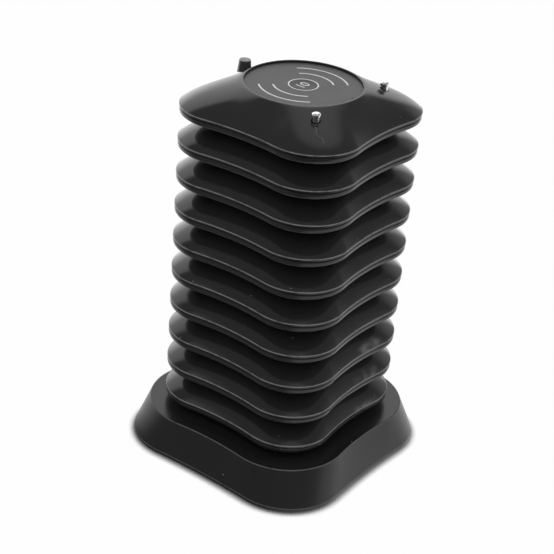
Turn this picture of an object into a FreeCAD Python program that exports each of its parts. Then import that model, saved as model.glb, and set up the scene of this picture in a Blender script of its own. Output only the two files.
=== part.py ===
import FreeCAD, Part
import math
import os
import re
import Sketcher

# Guest pager system: a charging base and ten stacked pagers.
# Millimetres. Origin at the middle of the base's underside, +Z up, +Y towards the
# locating posts. The tips of the four-lobed outline point along the diagonals.

SIZES = {
    # pager outline, seen from above: four rounded tips joined by four hollow sides
    "pager_reach": 56.0,
    "pager_tip": 22.9,
    "pager_waist": 125.0,
    # outline of the dome part of the way up
    "shoulder_reach": 48.9,
    "shoulder_tip": 18.5,
    "shoulder_waist": 250.0,
    "shoulder_height": 4.1,
    # heights of the pager, measured from the rim line where the dome meets the lip
    "dome_height": 11.1,
    "lip_height": 1.0,
    "groove_height": 0.5,
    "band_height": 1.5,
    "belly_depth": 5.6,
    # the belly's outline steps in as it curves under
    "band_inset": 0.1,
    "belly_inset": 7.0,
    # walls of the two shells
    "shell_wall": 2.0,
    "skin_depth": 2.1,
    "web_thickness": 1.2,
    "floor_thickness": 1.6,
    "spigot_clearance": 0.1,
    "spigot_wall": 1.0,
    "floor_corner": 9.0,
    # recess in the crown and the printed disc that lies in it
    "crown_radius": 27.9,
    "recess_radius": 27.3,
    "recess_depth": 1.1,
    "disc_thickness": 0.8,
    "disc_clearance": 0.1,
    "pinhole_radius": 0.4,
    "pinhole_circle": 25.7,
    # mute button in the middle of the disc
    "button_radius": 6.3,
    "button_clearance": 0.1,
    "button_proud": 0.1,
    "button_dish": 0.25,
    "dish_rim": 0.2,
    "button_travel": 0.6,
    "button_flange": 1.0,
    "button_flange_thickness": 0.8,
    "button_lift_gap": 0.1,
    "button_stem": 1.5,
    "switch_gap": 0.1,
    # charging pins on two tips, locating post on the side between the others
    "pin_circle": 37.4,
    "pin_radius": 2.05,
    "pin_proud": 1.0,
    "pin_head": 2.0,
    "pin_shank": 1.7,
    "pin_bevel": 0.5,
    "pin_flange": 2.9,
    "pin_flange_thickness": 0.25,
    "pin_clearance": 0.1,
    "sleeve_wall": 1.4,
    "sleeve_gap": 0.3,
    "post_circle": 34.0,
    "post_top_radius": 2.7,
    "post_proud": 1.4,
    "post_flare": 0.125,
    "post_root": 8.5,
    "post_rounding": 0.6,
    # sockets in the underside
    "socket_clearance": 0.35,
    "socket_wall": 1.3,
    "contact_gap": 0.2,
    "contact_pad": 3.6,
    "contact_pad_thickness": 0.5,
    "contact_leg": 0.6,
    # screws that hold the two shells together
    "screw_circle": 46.2,
    "boss_radius": 2.4,
    "screw_hole": 1.15,
    "screw_shank": 0.95,
    "thread_clearance": 0.05,
    "screw_head": 1.9,
    "screw_head_height": 1.1,
    "screw_length": 5.6,
    "counterbore_radius": 2.05,
    "counterbore_depth": 1.2,
    # circuit board and what it carries
    "board_reach": 42.8,
    "board_tip": 10.0,
    "board_waist": 150.0,
    "board_height": 0.6,
    "board_thickness": 1.2,
    "standoff_radius": 1.8,
    "standoff_circle": 31.0,
    "battery_length": 30.0,
    "battery_width": 20.0,
    "battery_gap": 0.2,
    "motor_radius": 5.0,
    "motor_height": 2.7,
    "motor_offset": 17.0,
    "buzzer_radius": 6.0,
    "buzzer_height": 4.0,
    "buzzer_offset": 17.0,
    "switch_width": 6.0,
    "switch_height": 2.2,
    # charging base
    "base_reach": 71.1,
    "base_tip": 28.7,
    "base_waist": 430.0,
    "deck_reach": 63.5,
    "deck_tip": 30.5,
    "deck_waist": 149.0,
    "base_height": 19.8,
    "seat_height": 2.4,
    "base_wall": 2.4,
    "deck_thickness": 2.2,
    "foot_height": 0.8,
    "foot_sink": 0.5,
    "foot_radius": 6.0,
    "foot_circle": 58.0,
    "foot_clearance": 0.1,
    "plate_thickness": 1.7,
    "rebate_clearance": 0.15,
    "rebate_wall": 1.4,
    "rebate_height": 2.4,
    "base_screw_circle": 44.0,
    "base_boss_radius": 3.2,
    "base_screw_hole": 1.7,
    "base_screw_shank": 1.4,
    "base_screw_head": 2.6,
    "base_screw_head_height": 0.9,
    "base_screw_length": 8.0,
    "base_counterbore": 2.8,
    "base_counterbore_depth": 1.0,
    "base_board_reach": 42.0,
    "base_board_tip": 12.0,
    "base_board_waist": 150.0,
    "base_board_height": 5.4,
    "base_board_thickness": 1.6,
    "base_standoff_radius": 2.5,
    "base_standoff_circle": 32.0,
    "tongue_width": 18.0,
    # socket for the power plug, in the back of the base
    "jack_width": 9.0,
    "jack_height": 8.4,
    "jack_depth": 13.0,
    "jack_nozzle": 4.1,
    "jack_nozzle_length": 7.6,
    "jack_recess": 1.5,
    "jack_bore": 3.1,
    "jack_bore_depth": 9.0,
    "jack_pin": 1.0,
    "jack_pin_setback": 1.5,
    "jack_clearance": 0.15,
}
PAGER_COUNT = 10
TIP_ANGLES = (45, 135, 225, 315)
BASE_SCREW_ANGLES = (15, 165, 195, 345)
PIN_ANGLES = (225, 315)
POST_ANGLE = 90
PINHOLE_ANGLE = 270
MOTOR_ANGLE = 90
BUZZER_ANGLE = 270
# The belly curves under in steps: each is a share of its height and a share of its inset.
BELLY_TURN = (0.35, 0.1)
BELLY_SLOPE = (0.75, 0.5)

doc = FreeCAD.newDocument("guest_pager_system")
sheet = doc.addObject("Spreadsheet::Sheet", "sizes")
for row, (alias, number) in enumerate(SIZES.items(), 1):
    sheet.set(f"A{row}", alias)
    sheet.set(f"B{row}", str(number))
    sheet.setAlias(f"B{row}", alias)
doc.recompute()

# Heights that follow from the sizes, as formulas. Pager heights count from the rim line.
RECESS_FLOOR = "(dome_height - recess_depth - disc_thickness)"
DISC_TOP = "(dome_height - recess_depth)"
CEILING = f"({RECESS_FLOOR} - web_thickness)"
SPLIT = "(-lip_height - groove_height)"
BAND_FOOT = f"({SPLIT} - band_height)"
FLOOR = "(floor_thickness - belly_depth)"
BOARD_TOP = "(board_height + board_thickness)"
SWITCH_TOP = f"({BOARD_TOP} + switch_height)"
PIN_TOP = "(dome_height + pin_proud)"
POST_TOP = "(dome_height + post_proud)"
PITCH = "(dome_height + belly_depth)"
PLATE_TOP = "(foot_height + plate_thickness)"
DECK_CEILING = "(base_height - deck_thickness)"
BASE_BOARD_TOP = "(base_board_height + base_board_thickness)"
SEAT_TOP = "(base_height + seat_height)"
FIRST_RIM = f"({SEAT_TOP} + belly_depth)"

PAGER = ("pager_reach", "pager_tip", "pager_waist")
SHOULDER = ("shoulder_reach", "shoulder_tip", "shoulder_waist")
BOARD = ("board_reach", "board_tip", "board_waist")
BASE = ("base_reach", "base_tip", "base_waist")
DECK = ("deck_reach", "deck_tip", "deck_waist")
BASE_BOARD = ("base_board_reach", "base_board_tip", "base_board_waist")


def side_of(shape):
    """How far the hollow side of an outline lies from the axis, as a formula."""
    reach, tip, waist = shape
    centre = f"({reach} - {tip}) * cos(45)"
    return f"({centre} + sqrt(({tip} + {waist})^2 - ({centre})^2) - {waist})"


# The power socket lies a little inside the skirt's slope, at the height of its own axis.
JACK_AXIS = f"({BASE_BOARD_TOP} + jack_height / 2)"
JACK_RISE = f"(({JACK_AXIS} - {PLATE_TOP}) / (base_height - {PLATE_TOP}))"
JACK_FRONT = (f"({side_of(BASE)} + ({side_of(DECK)} - {side_of(BASE)}) * {JACK_RISE}"
              " - jack_recess)")
JACK_SHOULDER = f"({JACK_FRONT} - jack_nozzle_length)"
JACK_BACK = f"({JACK_SHOULDER} - jack_depth)"


def formula(text):
    """The text with each size's name spelt as a cell of the sheet."""
    return re.sub(r"[a-z]+(?:_[a-z]+)+", lambda word: f"sizes.{word.group(0)}", text)


def value(text):
    """The present value of a formula, in millimetres."""
    return float(sheet.evalExpression(formula(text)))


def bind(item, **formulas):
    """Bind properties to formulas; two underscores stand for a dot."""
    for name, text in formulas.items():
        item.setExpression(name.replace("__", "."), formula(text))
    return item


def place(item, height, circle="0", angle=0):
    """Stand the item at a height, on a circle about the stack's axis."""
    return bind(item, Placement__Base__x=f"{circle} * cos({angle})",
                Placement__Base__y=f"{circle} * sin({angle})", Placement__Base__z=height)


# Sketches


def new_body(name):
    return doc.addObject("PartDesign::Body", name)


def sketch_at(body, name, height):
    """An empty sketch on the body's horizontal plane, raised to a height."""
    sketch = body.newObject("Sketcher::SketchObject", name)
    level = next(plane for plane in body.Origin.OriginFeatures if plane.Role == "XY_Plane")
    sketch.AttachmentSupport = [(level, "")]
    sketch.MapMode = "FlatFace"
    return bind(sketch, AttachmentOffset__Base__z=height)


def arc(centre_x, centre_y, radius, start, end):
    circle = Part.Circle(FreeCAD.Vector(centre_x, centre_y, 0), FreeCAD.Vector(0, 0, 1), radius)
    return Part.ArcOfCircle(circle, start, end)


def constrain(sketch, text, *what):
    """Add a driving dimension that follows a formula."""
    index = sketch.addConstraint(Sketcher.Constraint(*what, value(text)))
    sketch.setExpression(f"Constraints[{index}]", formula(text))


def draw_lobes(sketch, shape, inset="0"):
    """Four convex tips on the diagonals and four hollow sides, each arc tangent to the next."""
    reach, tip, waist = shape
    centre = f"({reach} - {tip}) * cos(45)"
    tip_radius = f"{tip} - {inset}"
    waist_radius = f"{waist} + {inset}"
    offset = value(centre)
    tip_size = value(tip_radius)
    waist_size = value(waist_radius)
    side = offset + math.sqrt((tip_size + waist_size) ** 2 - offset ** 2)
    lean = math.atan2(offset, side - offset)
    quarter = math.pi / 2
    tips = []
    sides = []
    for turn in range(4):
        x = offset * math.sqrt(2) * math.cos(quarter * (turn + 0.5))
        y = offset * math.sqrt(2) * math.sin(quarter * (turn + 0.5))
        tip_arc = arc(x, y, tip_size, quarter * turn - lean, quarter * (turn + 1) + lean)
        tips.append(sketch.addGeometry(tip_arc))
    for turn in range(4):
        facing = quarter * turn + math.pi
        side_arc = arc(side * math.cos(quarter * turn), side * math.sin(quarter * turn),
                       waist_size, facing - lean, facing + lean)
        sides.append(sketch.addGeometry(side_arc))
    for turn, index in enumerate(tips):
        across = (index, 3, -1, 1) if turn in (1, 2) else (-1, 1, index, 3)
        along = (index, 3, -1, 1) if turn in (2, 3) else (-1, 1, index, 3)
        constrain(sketch, centre, "DistanceX", *across)
        constrain(sketch, centre, "DistanceY", *along)
        constrain(sketch, tip_radius, "Radius", index)
    for turn, index in enumerate(sides):
        constrain(sketch, waist_radius, "Radius", index)
        sketch.addConstraint(Sketcher.Constraint("Tangent", tips[turn], 1, index, 1))
        sketch.addConstraint(Sketcher.Constraint("Tangent", tips[turn - 1], 2, index, 2))


def lobes(body, name, height, shape, inset="0"):
    sketch = sketch_at(body, name, height)
    draw_lobes(sketch, shape, inset)
    return sketch


def round_outline(body, name, height, radius):
    sketch = sketch_at(body, name, height)
    index = sketch.addGeometry(
        Part.Circle(FreeCAD.Vector(0, 0, 0), FreeCAD.Vector(0, 0, 1), value(radius)))
    sketch.addConstraint(Sketcher.Constraint("Coincident", index, 3, -1, 1))
    constrain(sketch, radius, "Radius", index)
    return sketch


# Features


def pad(body, name, sketch, length, down=False):
    feature = body.newObject("PartDesign::Pad", name)
    feature.Profile = sketch
    feature.Reversed = down
    return bind(feature, Length=length)


def pocket(body, name, sketch, length):
    """Cut downwards from the sketch."""
    feature = body.newObject("PartDesign::Pocket", name)
    feature.Profile = sketch
    return bind(feature, Length=length)


def loft(body, name, sketches, ruled=False):
    feature = body.newObject("PartDesign::AdditiveLoft", name)
    feature.Profile = sketches[0]
    feature.Sections = sketches[1:]
    feature.Ruled = ruled
    return feature


def cylinder(name, radius, bottom, top, circle="0", angle=0):
    item = doc.addObject("Part::Cylinder", name)
    bind(item, Radius=radius, Height=f"({top}) - ({bottom})")
    return place(item, bottom, circle, angle)


def cone(name, bottom_radius, top_radius, bottom, top, circle="0", angle=0):
    item = doc.addObject("Part::Cone", name)
    bind(item, Radius1=bottom_radius, Radius2=top_radius, Height=f"({top}) - ({bottom})")
    return place(item, bottom, circle, angle)


def along_y(name, radius, start, end):
    """A cylinder on the power socket's axis, running outwards along +Y."""
    item = doc.addObject("Part::Cylinder", name)
    item.Placement = FreeCAD.Placement(FreeCAD.Vector(0, 0, 0),
                                       FreeCAD.Rotation(FreeCAD.Vector(1, 0, 0), -90))
    return bind(item, Radius=radius, Height=f"({end}) - ({start})", Placement__Base__y=start,
                Placement__Base__z=JACK_AXIS)


def block(name, length, width, height, bottom, y="0"):
    """A box centred on x and y, standing at its bottom height."""
    item = doc.addObject("Part::Box", name)
    bind(item, Length=length, Width=width, Height=height)
    return bind(item, Placement__Base__x=f"-({length}) / 2",
                Placement__Base__y=f"{y} - ({width}) / 2", Placement__Base__z=bottom)


def fuse(name, items):
    joined = doc.addObject("Part::MultiFuse", name)
    joined.Shapes = items
    return joined


def cut(name, base, tools):
    """The base less one or more tools."""
    result = doc.addObject("Part::Cut", name)
    result.Base = base
    result.Tool = tools[0] if len(tools) == 1 else fuse(f"{name}_tools", tools)
    return result


def group(name, items):
    """Separate solids that share one node."""
    result = doc.addObject("Part::Compound", name)
    result.Links = items
    return result


def locating_post(name, bottom, top):
    """A tapered post with a rounded top edge, wider towards its root."""
    foot = f"post_top_radius + post_flare * (({top}) - ({bottom}))"
    taper = cone(f"{name}_taper", foot, "post_top_radius", bottom, top, "post_circle", POST_ANGLE)
    doc.recompute()
    edges = taper.Shape.Edges
    highest = max(range(len(edges)), key=lambda index: edges[index].BoundBox.ZMin)
    post = doc.addObject("Part::Fillet", name)
    post.Base = taper
    rounding = value("post_rounding")
    post.Edges = [(highest + 1, rounding, rounding)]
    return post


def charging_pin(name, bottom, top, angle):
    """A turned pin: a soldered flange, a shank, and a thicker head with a bevelled top."""
    flange_top = f"({bottom}) + pin_flange_thickness"
    head_foot = f"({top}) - pin_head"
    bevel_foot = f"({top}) - pin_bevel"
    flange = cylinder(f"{name}_flange", "pin_flange", bottom, flange_top, "pin_circle", angle)
    shank = cylinder(f"{name}_shank", "pin_shank", flange_top, head_foot, "pin_circle", angle)
    head = cylinder(f"{name}_head", "pin_radius", head_foot, bevel_foot, "pin_circle", angle)
    bevel = cone(f"{name}_bevel", "pin_radius", "pin_radius - pin_bevel", bevel_foot, top,
                 "pin_circle", angle)
    return fuse(name, [flange, shank, head, bevel])


def screw(name, bottom, radii, head_height, length, circle, angle):
    """A pan-head screw that points up, its head at the bottom."""
    head_radius, shank_radius = radii
    head = cylinder(f"{name}_head", head_radius, bottom, f"({bottom}) + {head_height}",
                    circle, angle)
    shank = cylinder(f"{name}_shank", shank_radius, f"({bottom}) + {head_height}",
                     f"({bottom}) + {length}", circle, angle)
    return fuse(name, [head, shank])


# Pager pieces, drawn once with the rim line at height 0


def upper_shell():
    """The glossy dome, with its lip, crown recess, pin sleeves, screw bosses and post."""
    dome = new_body("dome")
    loft(dome, "dome_loft", [
        lobes(dome, "rim_outline", "0", PAGER),
        lobes(dome, "shoulder_outline", "shoulder_height", SHOULDER),
        round_outline(dome, "crown_outline", "dome_height", "crown_radius")])
    pad(dome, "lip", lobes(dome, "lip_outline", "0", PAGER), "lip_height", down=True)
    pocket(dome, "recess", round_outline(dome, "recess_outline", "dome_height", "recess_radius"),
           "recess_depth + disc_thickness")
    pocket(dome, "button_hole",
           round_outline(dome, "button_outline", RECESS_FLOOR, "button_radius + button_clearance"),
           "web_thickness")
    hollow = new_body("dome_hollow")
    loft(hollow, "hollow_loft", [
        lobes(hollow, "hollow_rim", "0", PAGER, "shell_wall"),
        lobes(hollow, "hollow_shoulder", "shoulder_height - skin_depth", SHOULDER),
        round_outline(hollow, "hollow_crown", CEILING, "crown_radius")])
    pad(hollow, "hollow_lip", lobes(hollow, "hollow_lip_outline", "0", PAGER, "shell_wall"),
        "lip_height", down=True)
    kept = [cylinder(f"sleeve_{angle}", "pin_radius + pin_clearance + sleeve_wall",
                     f"{BOARD_TOP} + sleeve_gap", "dome_height", "pin_circle", angle)
            for angle in PIN_ANGLES]
    kept += [cylinder(f"upper_boss_{angle}", "boss_radius", "-lip_height", "dome_height",
                      "screw_circle", angle) for angle in TIP_ANGLES]
    hollow_left = cut("dome_hollow_left", hollow, kept)
    bores = [cylinder(f"pin_bore_{angle}", "pin_radius + pin_clearance", BOARD_TOP, PIN_TOP,
                      "pin_circle", angle) for angle in PIN_ANGLES]
    bores += [cylinder(f"pilot_{angle}", "screw_shank + thread_clearance", "-lip_height",
                       "screw_length + screw_head_height - belly_depth", "screw_circle", angle)
              for angle in TIP_ANGLES]
    hollowed = cut("dome_hollowed", dome, [hollow_left])
    post = locating_post("upper_post", f"{POST_TOP} - post_root", POST_TOP)
    return cut("upper_shell", fuse("dome_with_post", [hollowed, post]), bores)


def belly_step(body, name, shares):
    """The belly's outline part of the way down from the band to the underside."""
    down, across = shares
    return lobes(body, name, f"{BAND_FOOT} - (belly_depth + {BAND_FOOT}) * {down}", PAGER,
                 f"belly_inset * {across}")


def lower_shell():
    """The shallow belly, with its spigot, screw bosses, board standoffs and three sockets."""
    belly = new_body("belly")
    pad(belly, "band", lobes(belly, "band_outline", SPLIT, PAGER, "band_inset"),
        "band_height", down=True)
    loft(belly, "belly_loft", [
        lobes(belly, "belly_top", BAND_FOOT, PAGER, "band_inset"),
        belly_step(belly, "belly_turn", BELLY_TURN),
        belly_step(belly, "belly_slope", BELLY_SLOPE),
        lobes(belly, "belly_flat", "-belly_depth", PAGER, "belly_inset")], ruled=True)
    spigot_face = "shell_wall + spigot_clearance"
    pad(belly, "spigot", lobes(belly, "spigot_outline", SPLIT, PAGER, spigot_face),
        "groove_height + lip_height - spigot_clearance")
    hollow = new_body("belly_hollow")
    inner_face = f"{spigot_face} + spigot_wall"
    pad(hollow, "spigot_hollow", lobes(hollow, "spigot_hollow_outline", BAND_FOOT, PAGER, inner_face),
        f"-{BAND_FOOT}")
    loft(hollow, "belly_hollow_loft", [
        lobes(hollow, "belly_hollow_top", BAND_FOOT, PAGER, inner_face),
        lobes(hollow, "belly_hollow_floor", FLOOR, PAGER, "floor_corner")], ruled=True)
    kept = [cylinder(f"lower_boss_{angle}", "boss_radius", FLOOR, "-lip_height",
                     "screw_circle", angle) for angle in TIP_ANGLES]
    kept += [cylinder(f"standoff_{angle}", "standoff_radius", FLOOR, "board_height",
                      "standoff_circle", angle) for angle in TIP_ANGLES]
    post_radius = "post_top_radius + post_flare * post_proud"
    post_socket = f"{post_radius} + socket_clearance"
    post_socket_top = "post_proud + socket_clearance - belly_depth"
    kept += [cylinder("socket_boss", f"{post_socket} + socket_wall", FLOOR,
                      f"{post_socket_top} + socket_wall", "post_circle", POST_ANGLE)]
    hollow_left = cut("belly_hollow_left", hollow, kept)
    bores = [cylinder(f"pin_socket_{angle}", "pin_radius + socket_clearance", "-belly_depth",
                      FLOOR, "pin_circle", angle) for angle in PIN_ANGLES]
    bores += [cylinder("post_socket", post_socket, "-belly_depth", post_socket_top,
                       "post_circle", POST_ANGLE)]
    bores += [cylinder(f"screw_hole_{angle}", "screw_hole", "-belly_depth", "-lip_height",
                       "screw_circle", angle) for angle in TIP_ANGLES]
    bores += [cylinder(f"counterbore_{angle}", "counterbore_radius", "-belly_depth",
                       "counterbore_depth - belly_depth", "screw_circle", angle)
              for angle in TIP_ANGLES]
    standing = fuse("belly_with_standoffs", [cut("belly_hollowed", belly, [hollow_left])] + kept)
    return cut("lower_shell", standing, bores)


def face_disc():
    """The printed disc in the crown, with a hole for the button and a pinhole near its edge."""
    plate = cylinder("disc_plate", "recess_radius - disc_clearance", RECESS_FLOOR, DISC_TOP)
    hole = cylinder("disc_hole", "button_radius + button_clearance", RECESS_FLOOR, DISC_TOP)
    pinhole = cylinder("disc_pinhole", "pinhole_radius", RECESS_FLOOR, DISC_TOP,
                       "pinhole_circle", PINHOLE_ANGLE)
    return cut("face_disc", plate, [hole, pinhole])


def mute_button():
    """A round cap with a retaining flange under the web and a stem over the switch."""
    flange_top = f"{CEILING} - button_lift_gap"
    flange_foot = f"{flange_top} - button_flange_thickness"
    cap_top = f"{DISC_TOP} + button_proud"
    cap = cylinder("button_cap", "button_radius", flange_top, cap_top)
    flange = cylinder("button_flange_ring", "button_radius + button_flange", flange_foot, flange_top)
    stem = cylinder("button_stem_rod", "button_stem",
                    f"{SWITCH_TOP} + button_travel + switch_gap", flange_foot)
    dish = cone("button_dish_cut", "0", "button_radius - dish_rim",
                f"{cap_top} - button_dish", cap_top)
    return cut("mute_button", fuse("button_blank", [cap, flange, stem]), [dish])


def contact_pins():
    """Two charging pins, and under them the pads that the pager below reaches."""
    pieces = []
    for angle in PIN_ANGLES:
        pieces.append(charging_pin(f"pin_{angle}", BOARD_TOP, PIN_TOP, angle))
        stub_foot = "pin_proud + contact_gap - belly_depth"
        pad_top = f"{FLOOR} + contact_pad_thickness"
        pieces.append(fuse(f"contact_{angle}", [
            cylinder(f"contact_stub_{angle}", "pin_radius", stub_foot, FLOOR, "pin_circle", angle),
            cylinder(f"contact_pad_{angle}", "contact_pad", FLOOR, pad_top, "pin_circle", angle),
            cylinder(f"contact_leg_{angle}", "contact_leg", pad_top, "board_height",
                     "pin_circle", angle)]))
    return pieces


def circuit_board():
    """The board with its switch, vibration motor and buzzer."""
    board = new_body("board")
    pad(board, "board_pad", lobes(board, "board_outline", "board_height", BOARD), "board_thickness")
    switch = block("switch", "switch_width", "switch_width", "switch_height", BOARD_TOP)
    motor = cylinder("motor", "motor_radius", BOARD_TOP, f"{BOARD_TOP} + motor_height",
                     "motor_offset", MOTOR_ANGLE)
    buzzer = cylinder("buzzer", "buzzer_radius", BOARD_TOP, f"{BOARD_TOP} + buzzer_height",
                      "buzzer_offset", BUZZER_ANGLE)
    return [board, switch, motor, buzzer]


def battery():
    return [block("battery_cell", "battery_length", "battery_width",
                  f"board_height - battery_gap - {FLOOR}", FLOOR)]


def shell_screws():
    return [screw(f"shell_screw_{angle}", "counterbore_depth - screw_head_height - belly_depth",
                  ("screw_head", "screw_shank"), "screw_head_height", "screw_length",
                  "screw_circle", angle) for angle in TIP_ANGLES]


# Base pieces, at their own heights


def base_shell():
    """The flared housing, with its raised seat, locating post, pin holes and jack hole."""
    skirt = new_body("skirt")
    loft(skirt, "skirt_loft", [
        lobes(skirt, "skirt_foot", PLATE_TOP, BASE),
        lobes(skirt, "skirt_deck", "base_height", DECK)], ruled=True)
    pad(skirt, "seat", round_outline(skirt, "seat_outline", "base_height", "crown_radius"),
        "seat_height")
    hollow = new_body("skirt_hollow")
    loft(hollow, "skirt_hollow_loft", [
        lobes(hollow, "skirt_hollow_foot", PLATE_TOP, BASE, "base_wall"),
        lobes(hollow, "skirt_hollow_deck", DECK_CEILING, DECK, "base_wall")], ruled=True)
    bosses = [cylinder(f"base_boss_{angle}", "base_boss_radius", PLATE_TOP, "base_height",
                       "base_screw_circle", angle) for angle in BASE_SCREW_ANGLES]
    hollow_left = cut("skirt_hollow_left", hollow, bosses)
    post = locating_post("base_post", DECK_CEILING, f"{SEAT_TOP} + post_proud")
    blank = fuse("skirt_with_post", [cut("skirt_hollowed", skirt, [hollow_left]), post])
    bores = [cylinder(f"deck_bore_{angle}", "pin_radius + pin_clearance", DECK_CEILING,
                      "base_height", "pin_circle", angle) for angle in PIN_ANGLES]
    bores += [cylinder(f"base_pilot_{angle}", "base_screw_shank + thread_clearance", PLATE_TOP,
                       "foot_height + base_counterbore_depth + base_screw_length",
                       "base_screw_circle", angle) for angle in BASE_SCREW_ANGLES]
    bores += [along_y("jack_hole", "jack_nozzle + jack_clearance", JACK_SHOULDER, "base_reach")]
    return cut("base_shell_form", blank, bores)


def base_plate():
    """The bottom cover, with a rib inside the skirt, standoffs, screw holes and foot recesses."""
    plate = new_body("plate")
    pad(plate, "plate_pad", lobes(plate, "plate_outline", "foot_height", BASE), "plate_thickness")
    lean = f"(base_reach - deck_reach) / ({DECK_CEILING} - {PLATE_TOP})"
    rib_face = f"base_wall + rebate_clearance + rebate_height * {lean}"
    rib = new_body("plate_rib")
    pad(rib, "rib_pad", lobes(rib, "rib_outline", PLATE_TOP, BASE, rib_face), "rebate_height")
    rib_hollow = new_body("plate_rib_hollow")
    pad(rib_hollow, "rib_hollow_pad",
        lobes(rib_hollow, "rib_hollow_outline", PLATE_TOP, BASE, f"{rib_face} + rebate_wall"),
        "rebate_height")
    standoffs = [cylinder(f"base_standoff_{angle}", "base_standoff_radius", PLATE_TOP,
                          "base_board_height", "base_standoff_circle", angle)
                 for angle in TIP_ANGLES]
    blank = fuse("plate_blank", [plate, cut("plate_rib_ring", rib, [rib_hollow])] + standoffs)
    holes = [cylinder(f"plate_hole_{angle}", "base_screw_hole", "foot_height", PLATE_TOP,
                      "base_screw_circle", angle) for angle in BASE_SCREW_ANGLES]
    holes += [cylinder(f"plate_counterbore_{angle}", "base_counterbore", "foot_height",
                       "foot_height + base_counterbore_depth", "base_screw_circle", angle)
              for angle in BASE_SCREW_ANGLES]
    holes += [cylinder(f"foot_recess_{angle}", "foot_radius + foot_clearance", "foot_height",
                       "foot_height + foot_sink", "foot_circle", angle) for angle in TIP_ANGLES]
    return cut("base_plate_form", blank, holes)


def base_feet():
    return [cylinder(f"foot_{angle}", "foot_radius", "0", "foot_height + foot_sink",
                     "foot_circle", angle) for angle in TIP_ANGLES]


def base_screws():
    return [screw(f"base_screw_{angle}",
                  "foot_height + base_counterbore_depth - base_screw_head_height",
                  ("base_screw_head", "base_screw_shank"), "base_screw_head_height",
                  "base_screw_length", "base_screw_circle", angle) for angle in BASE_SCREW_ANGLES]


def base_board():
    """The board, with a tongue at the back that carries the power socket."""
    board = new_body("base_board_body")
    pad(board, "base_board_pad", lobes(board, "base_board_outline", "base_board_height", BASE_BOARD),
        "base_board_thickness")
    tongue = block("board_tongue", "tongue_width", JACK_SHOULDER, "base_board_thickness",
                   "base_board_height", y=f"{JACK_SHOULDER} / 2")
    return [fuse("base_board_blank", [board, tongue])]


def base_pins():
    return [charging_pin(f"base_pin_{angle}", BASE_BOARD_TOP, f"{SEAT_TOP} + pin_proud", angle)
            for angle in PIN_ANGLES]


def power_jack():
    """A moulded socket on the board, with a round nozzle through the skirt and a centre pin."""
    housing = block("jack_housing", "jack_width", "jack_depth", "jack_height", BASE_BOARD_TOP,
                    y=f"({JACK_SHOULDER} + {JACK_BACK}) / 2")
    bore_end = f"{JACK_FRONT} - jack_bore_depth"
    nozzle = along_y("jack_nozzle_tube", "jack_nozzle", JACK_SHOULDER, JACK_FRONT)
    bore = along_y("jack_bore_cut", "jack_bore", bore_end, JACK_FRONT)
    pin = along_y("jack_centre_pin", "jack_pin", bore_end, f"{JACK_FRONT} - jack_pin_setback")
    return [cut("jack_body", fuse("jack_blank", [housing, nozzle]), [bore]), pin]


# Assembly


def link(node, source, height):
    """One sub-part: the drawn piece, set at its height under its own name."""
    item = doc.addObject("App::Link", f"node_{node}")
    item.LinkedObject = source
    item.Label = node
    return bind(item, Placement__Base__z=height)


shells = {"upper_shell": upper_shell(), "lower_shell": lower_shell(),
          "face_disc": face_disc(), "mute_button": mute_button()}
inside = {"contact_pins": contact_pins(), "circuit_board": circuit_board(),
          "battery": battery(), "shell_screws": shell_screws()}
works = group("works", [piece for pieces in inside.values() for piece in pieces])

nodes = []
for level in range(1, PAGER_COUNT + 1):
    rim = f"{FIRST_RIM} + {level - 1} * {PITCH}"
    nodes += [link(f"pager_{level:02d}_{name}", piece, rim) for name, piece in shells.items()]
    if level < PAGER_COUNT:
        nodes.append(link(f"pager_{level:02d}_works", works, rim))
        continue
    for name, pieces in inside.items():
        nodes.append(link(f"pager_{level:02d}_{name}", group(f"{name}_group", pieces), rim))

nodes.append(link("base_shell", base_shell(), "0"))
nodes.append(link("base_plate", base_plate(), "0"))
for name, pieces in {"base_feet": base_feet(), "base_screws": base_screws(),
                     "base_board": base_board(), "base_pins": base_pins(),
                     "power_jack": power_jack()}.items():
    nodes.append(link(name, group(f"{name}_group", pieces), "0"))

doc.recompute()
for item in doc.Objects:
    if "Invalid" in item.State or "Error" in item.State:
        raise RuntimeError(f"{item.Name} is {item.State}")

os.makedirs("parts", exist_ok=True)
for node in nodes:
    shape = Part.getShape(node)
    if shape.isNull() or not shape.isValid():
        raise RuntimeError(f"{node.Label} has no valid shape")
    shape.exportStep(f"parts/{node.Label}.step")
    box = shape.BoundBox
    print(f"{node.Label:28s} solids {len(shape.Solids):2d}  volume {shape.Volume:10.1f}  "
          f"z {box.ZMin:7.2f} to {box.ZMax:7.2f}")
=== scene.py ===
# %% Load the packed frame
import math

import bmesh
import bpy
import numpy as np
from mathutils import Matrix, Vector


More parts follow.
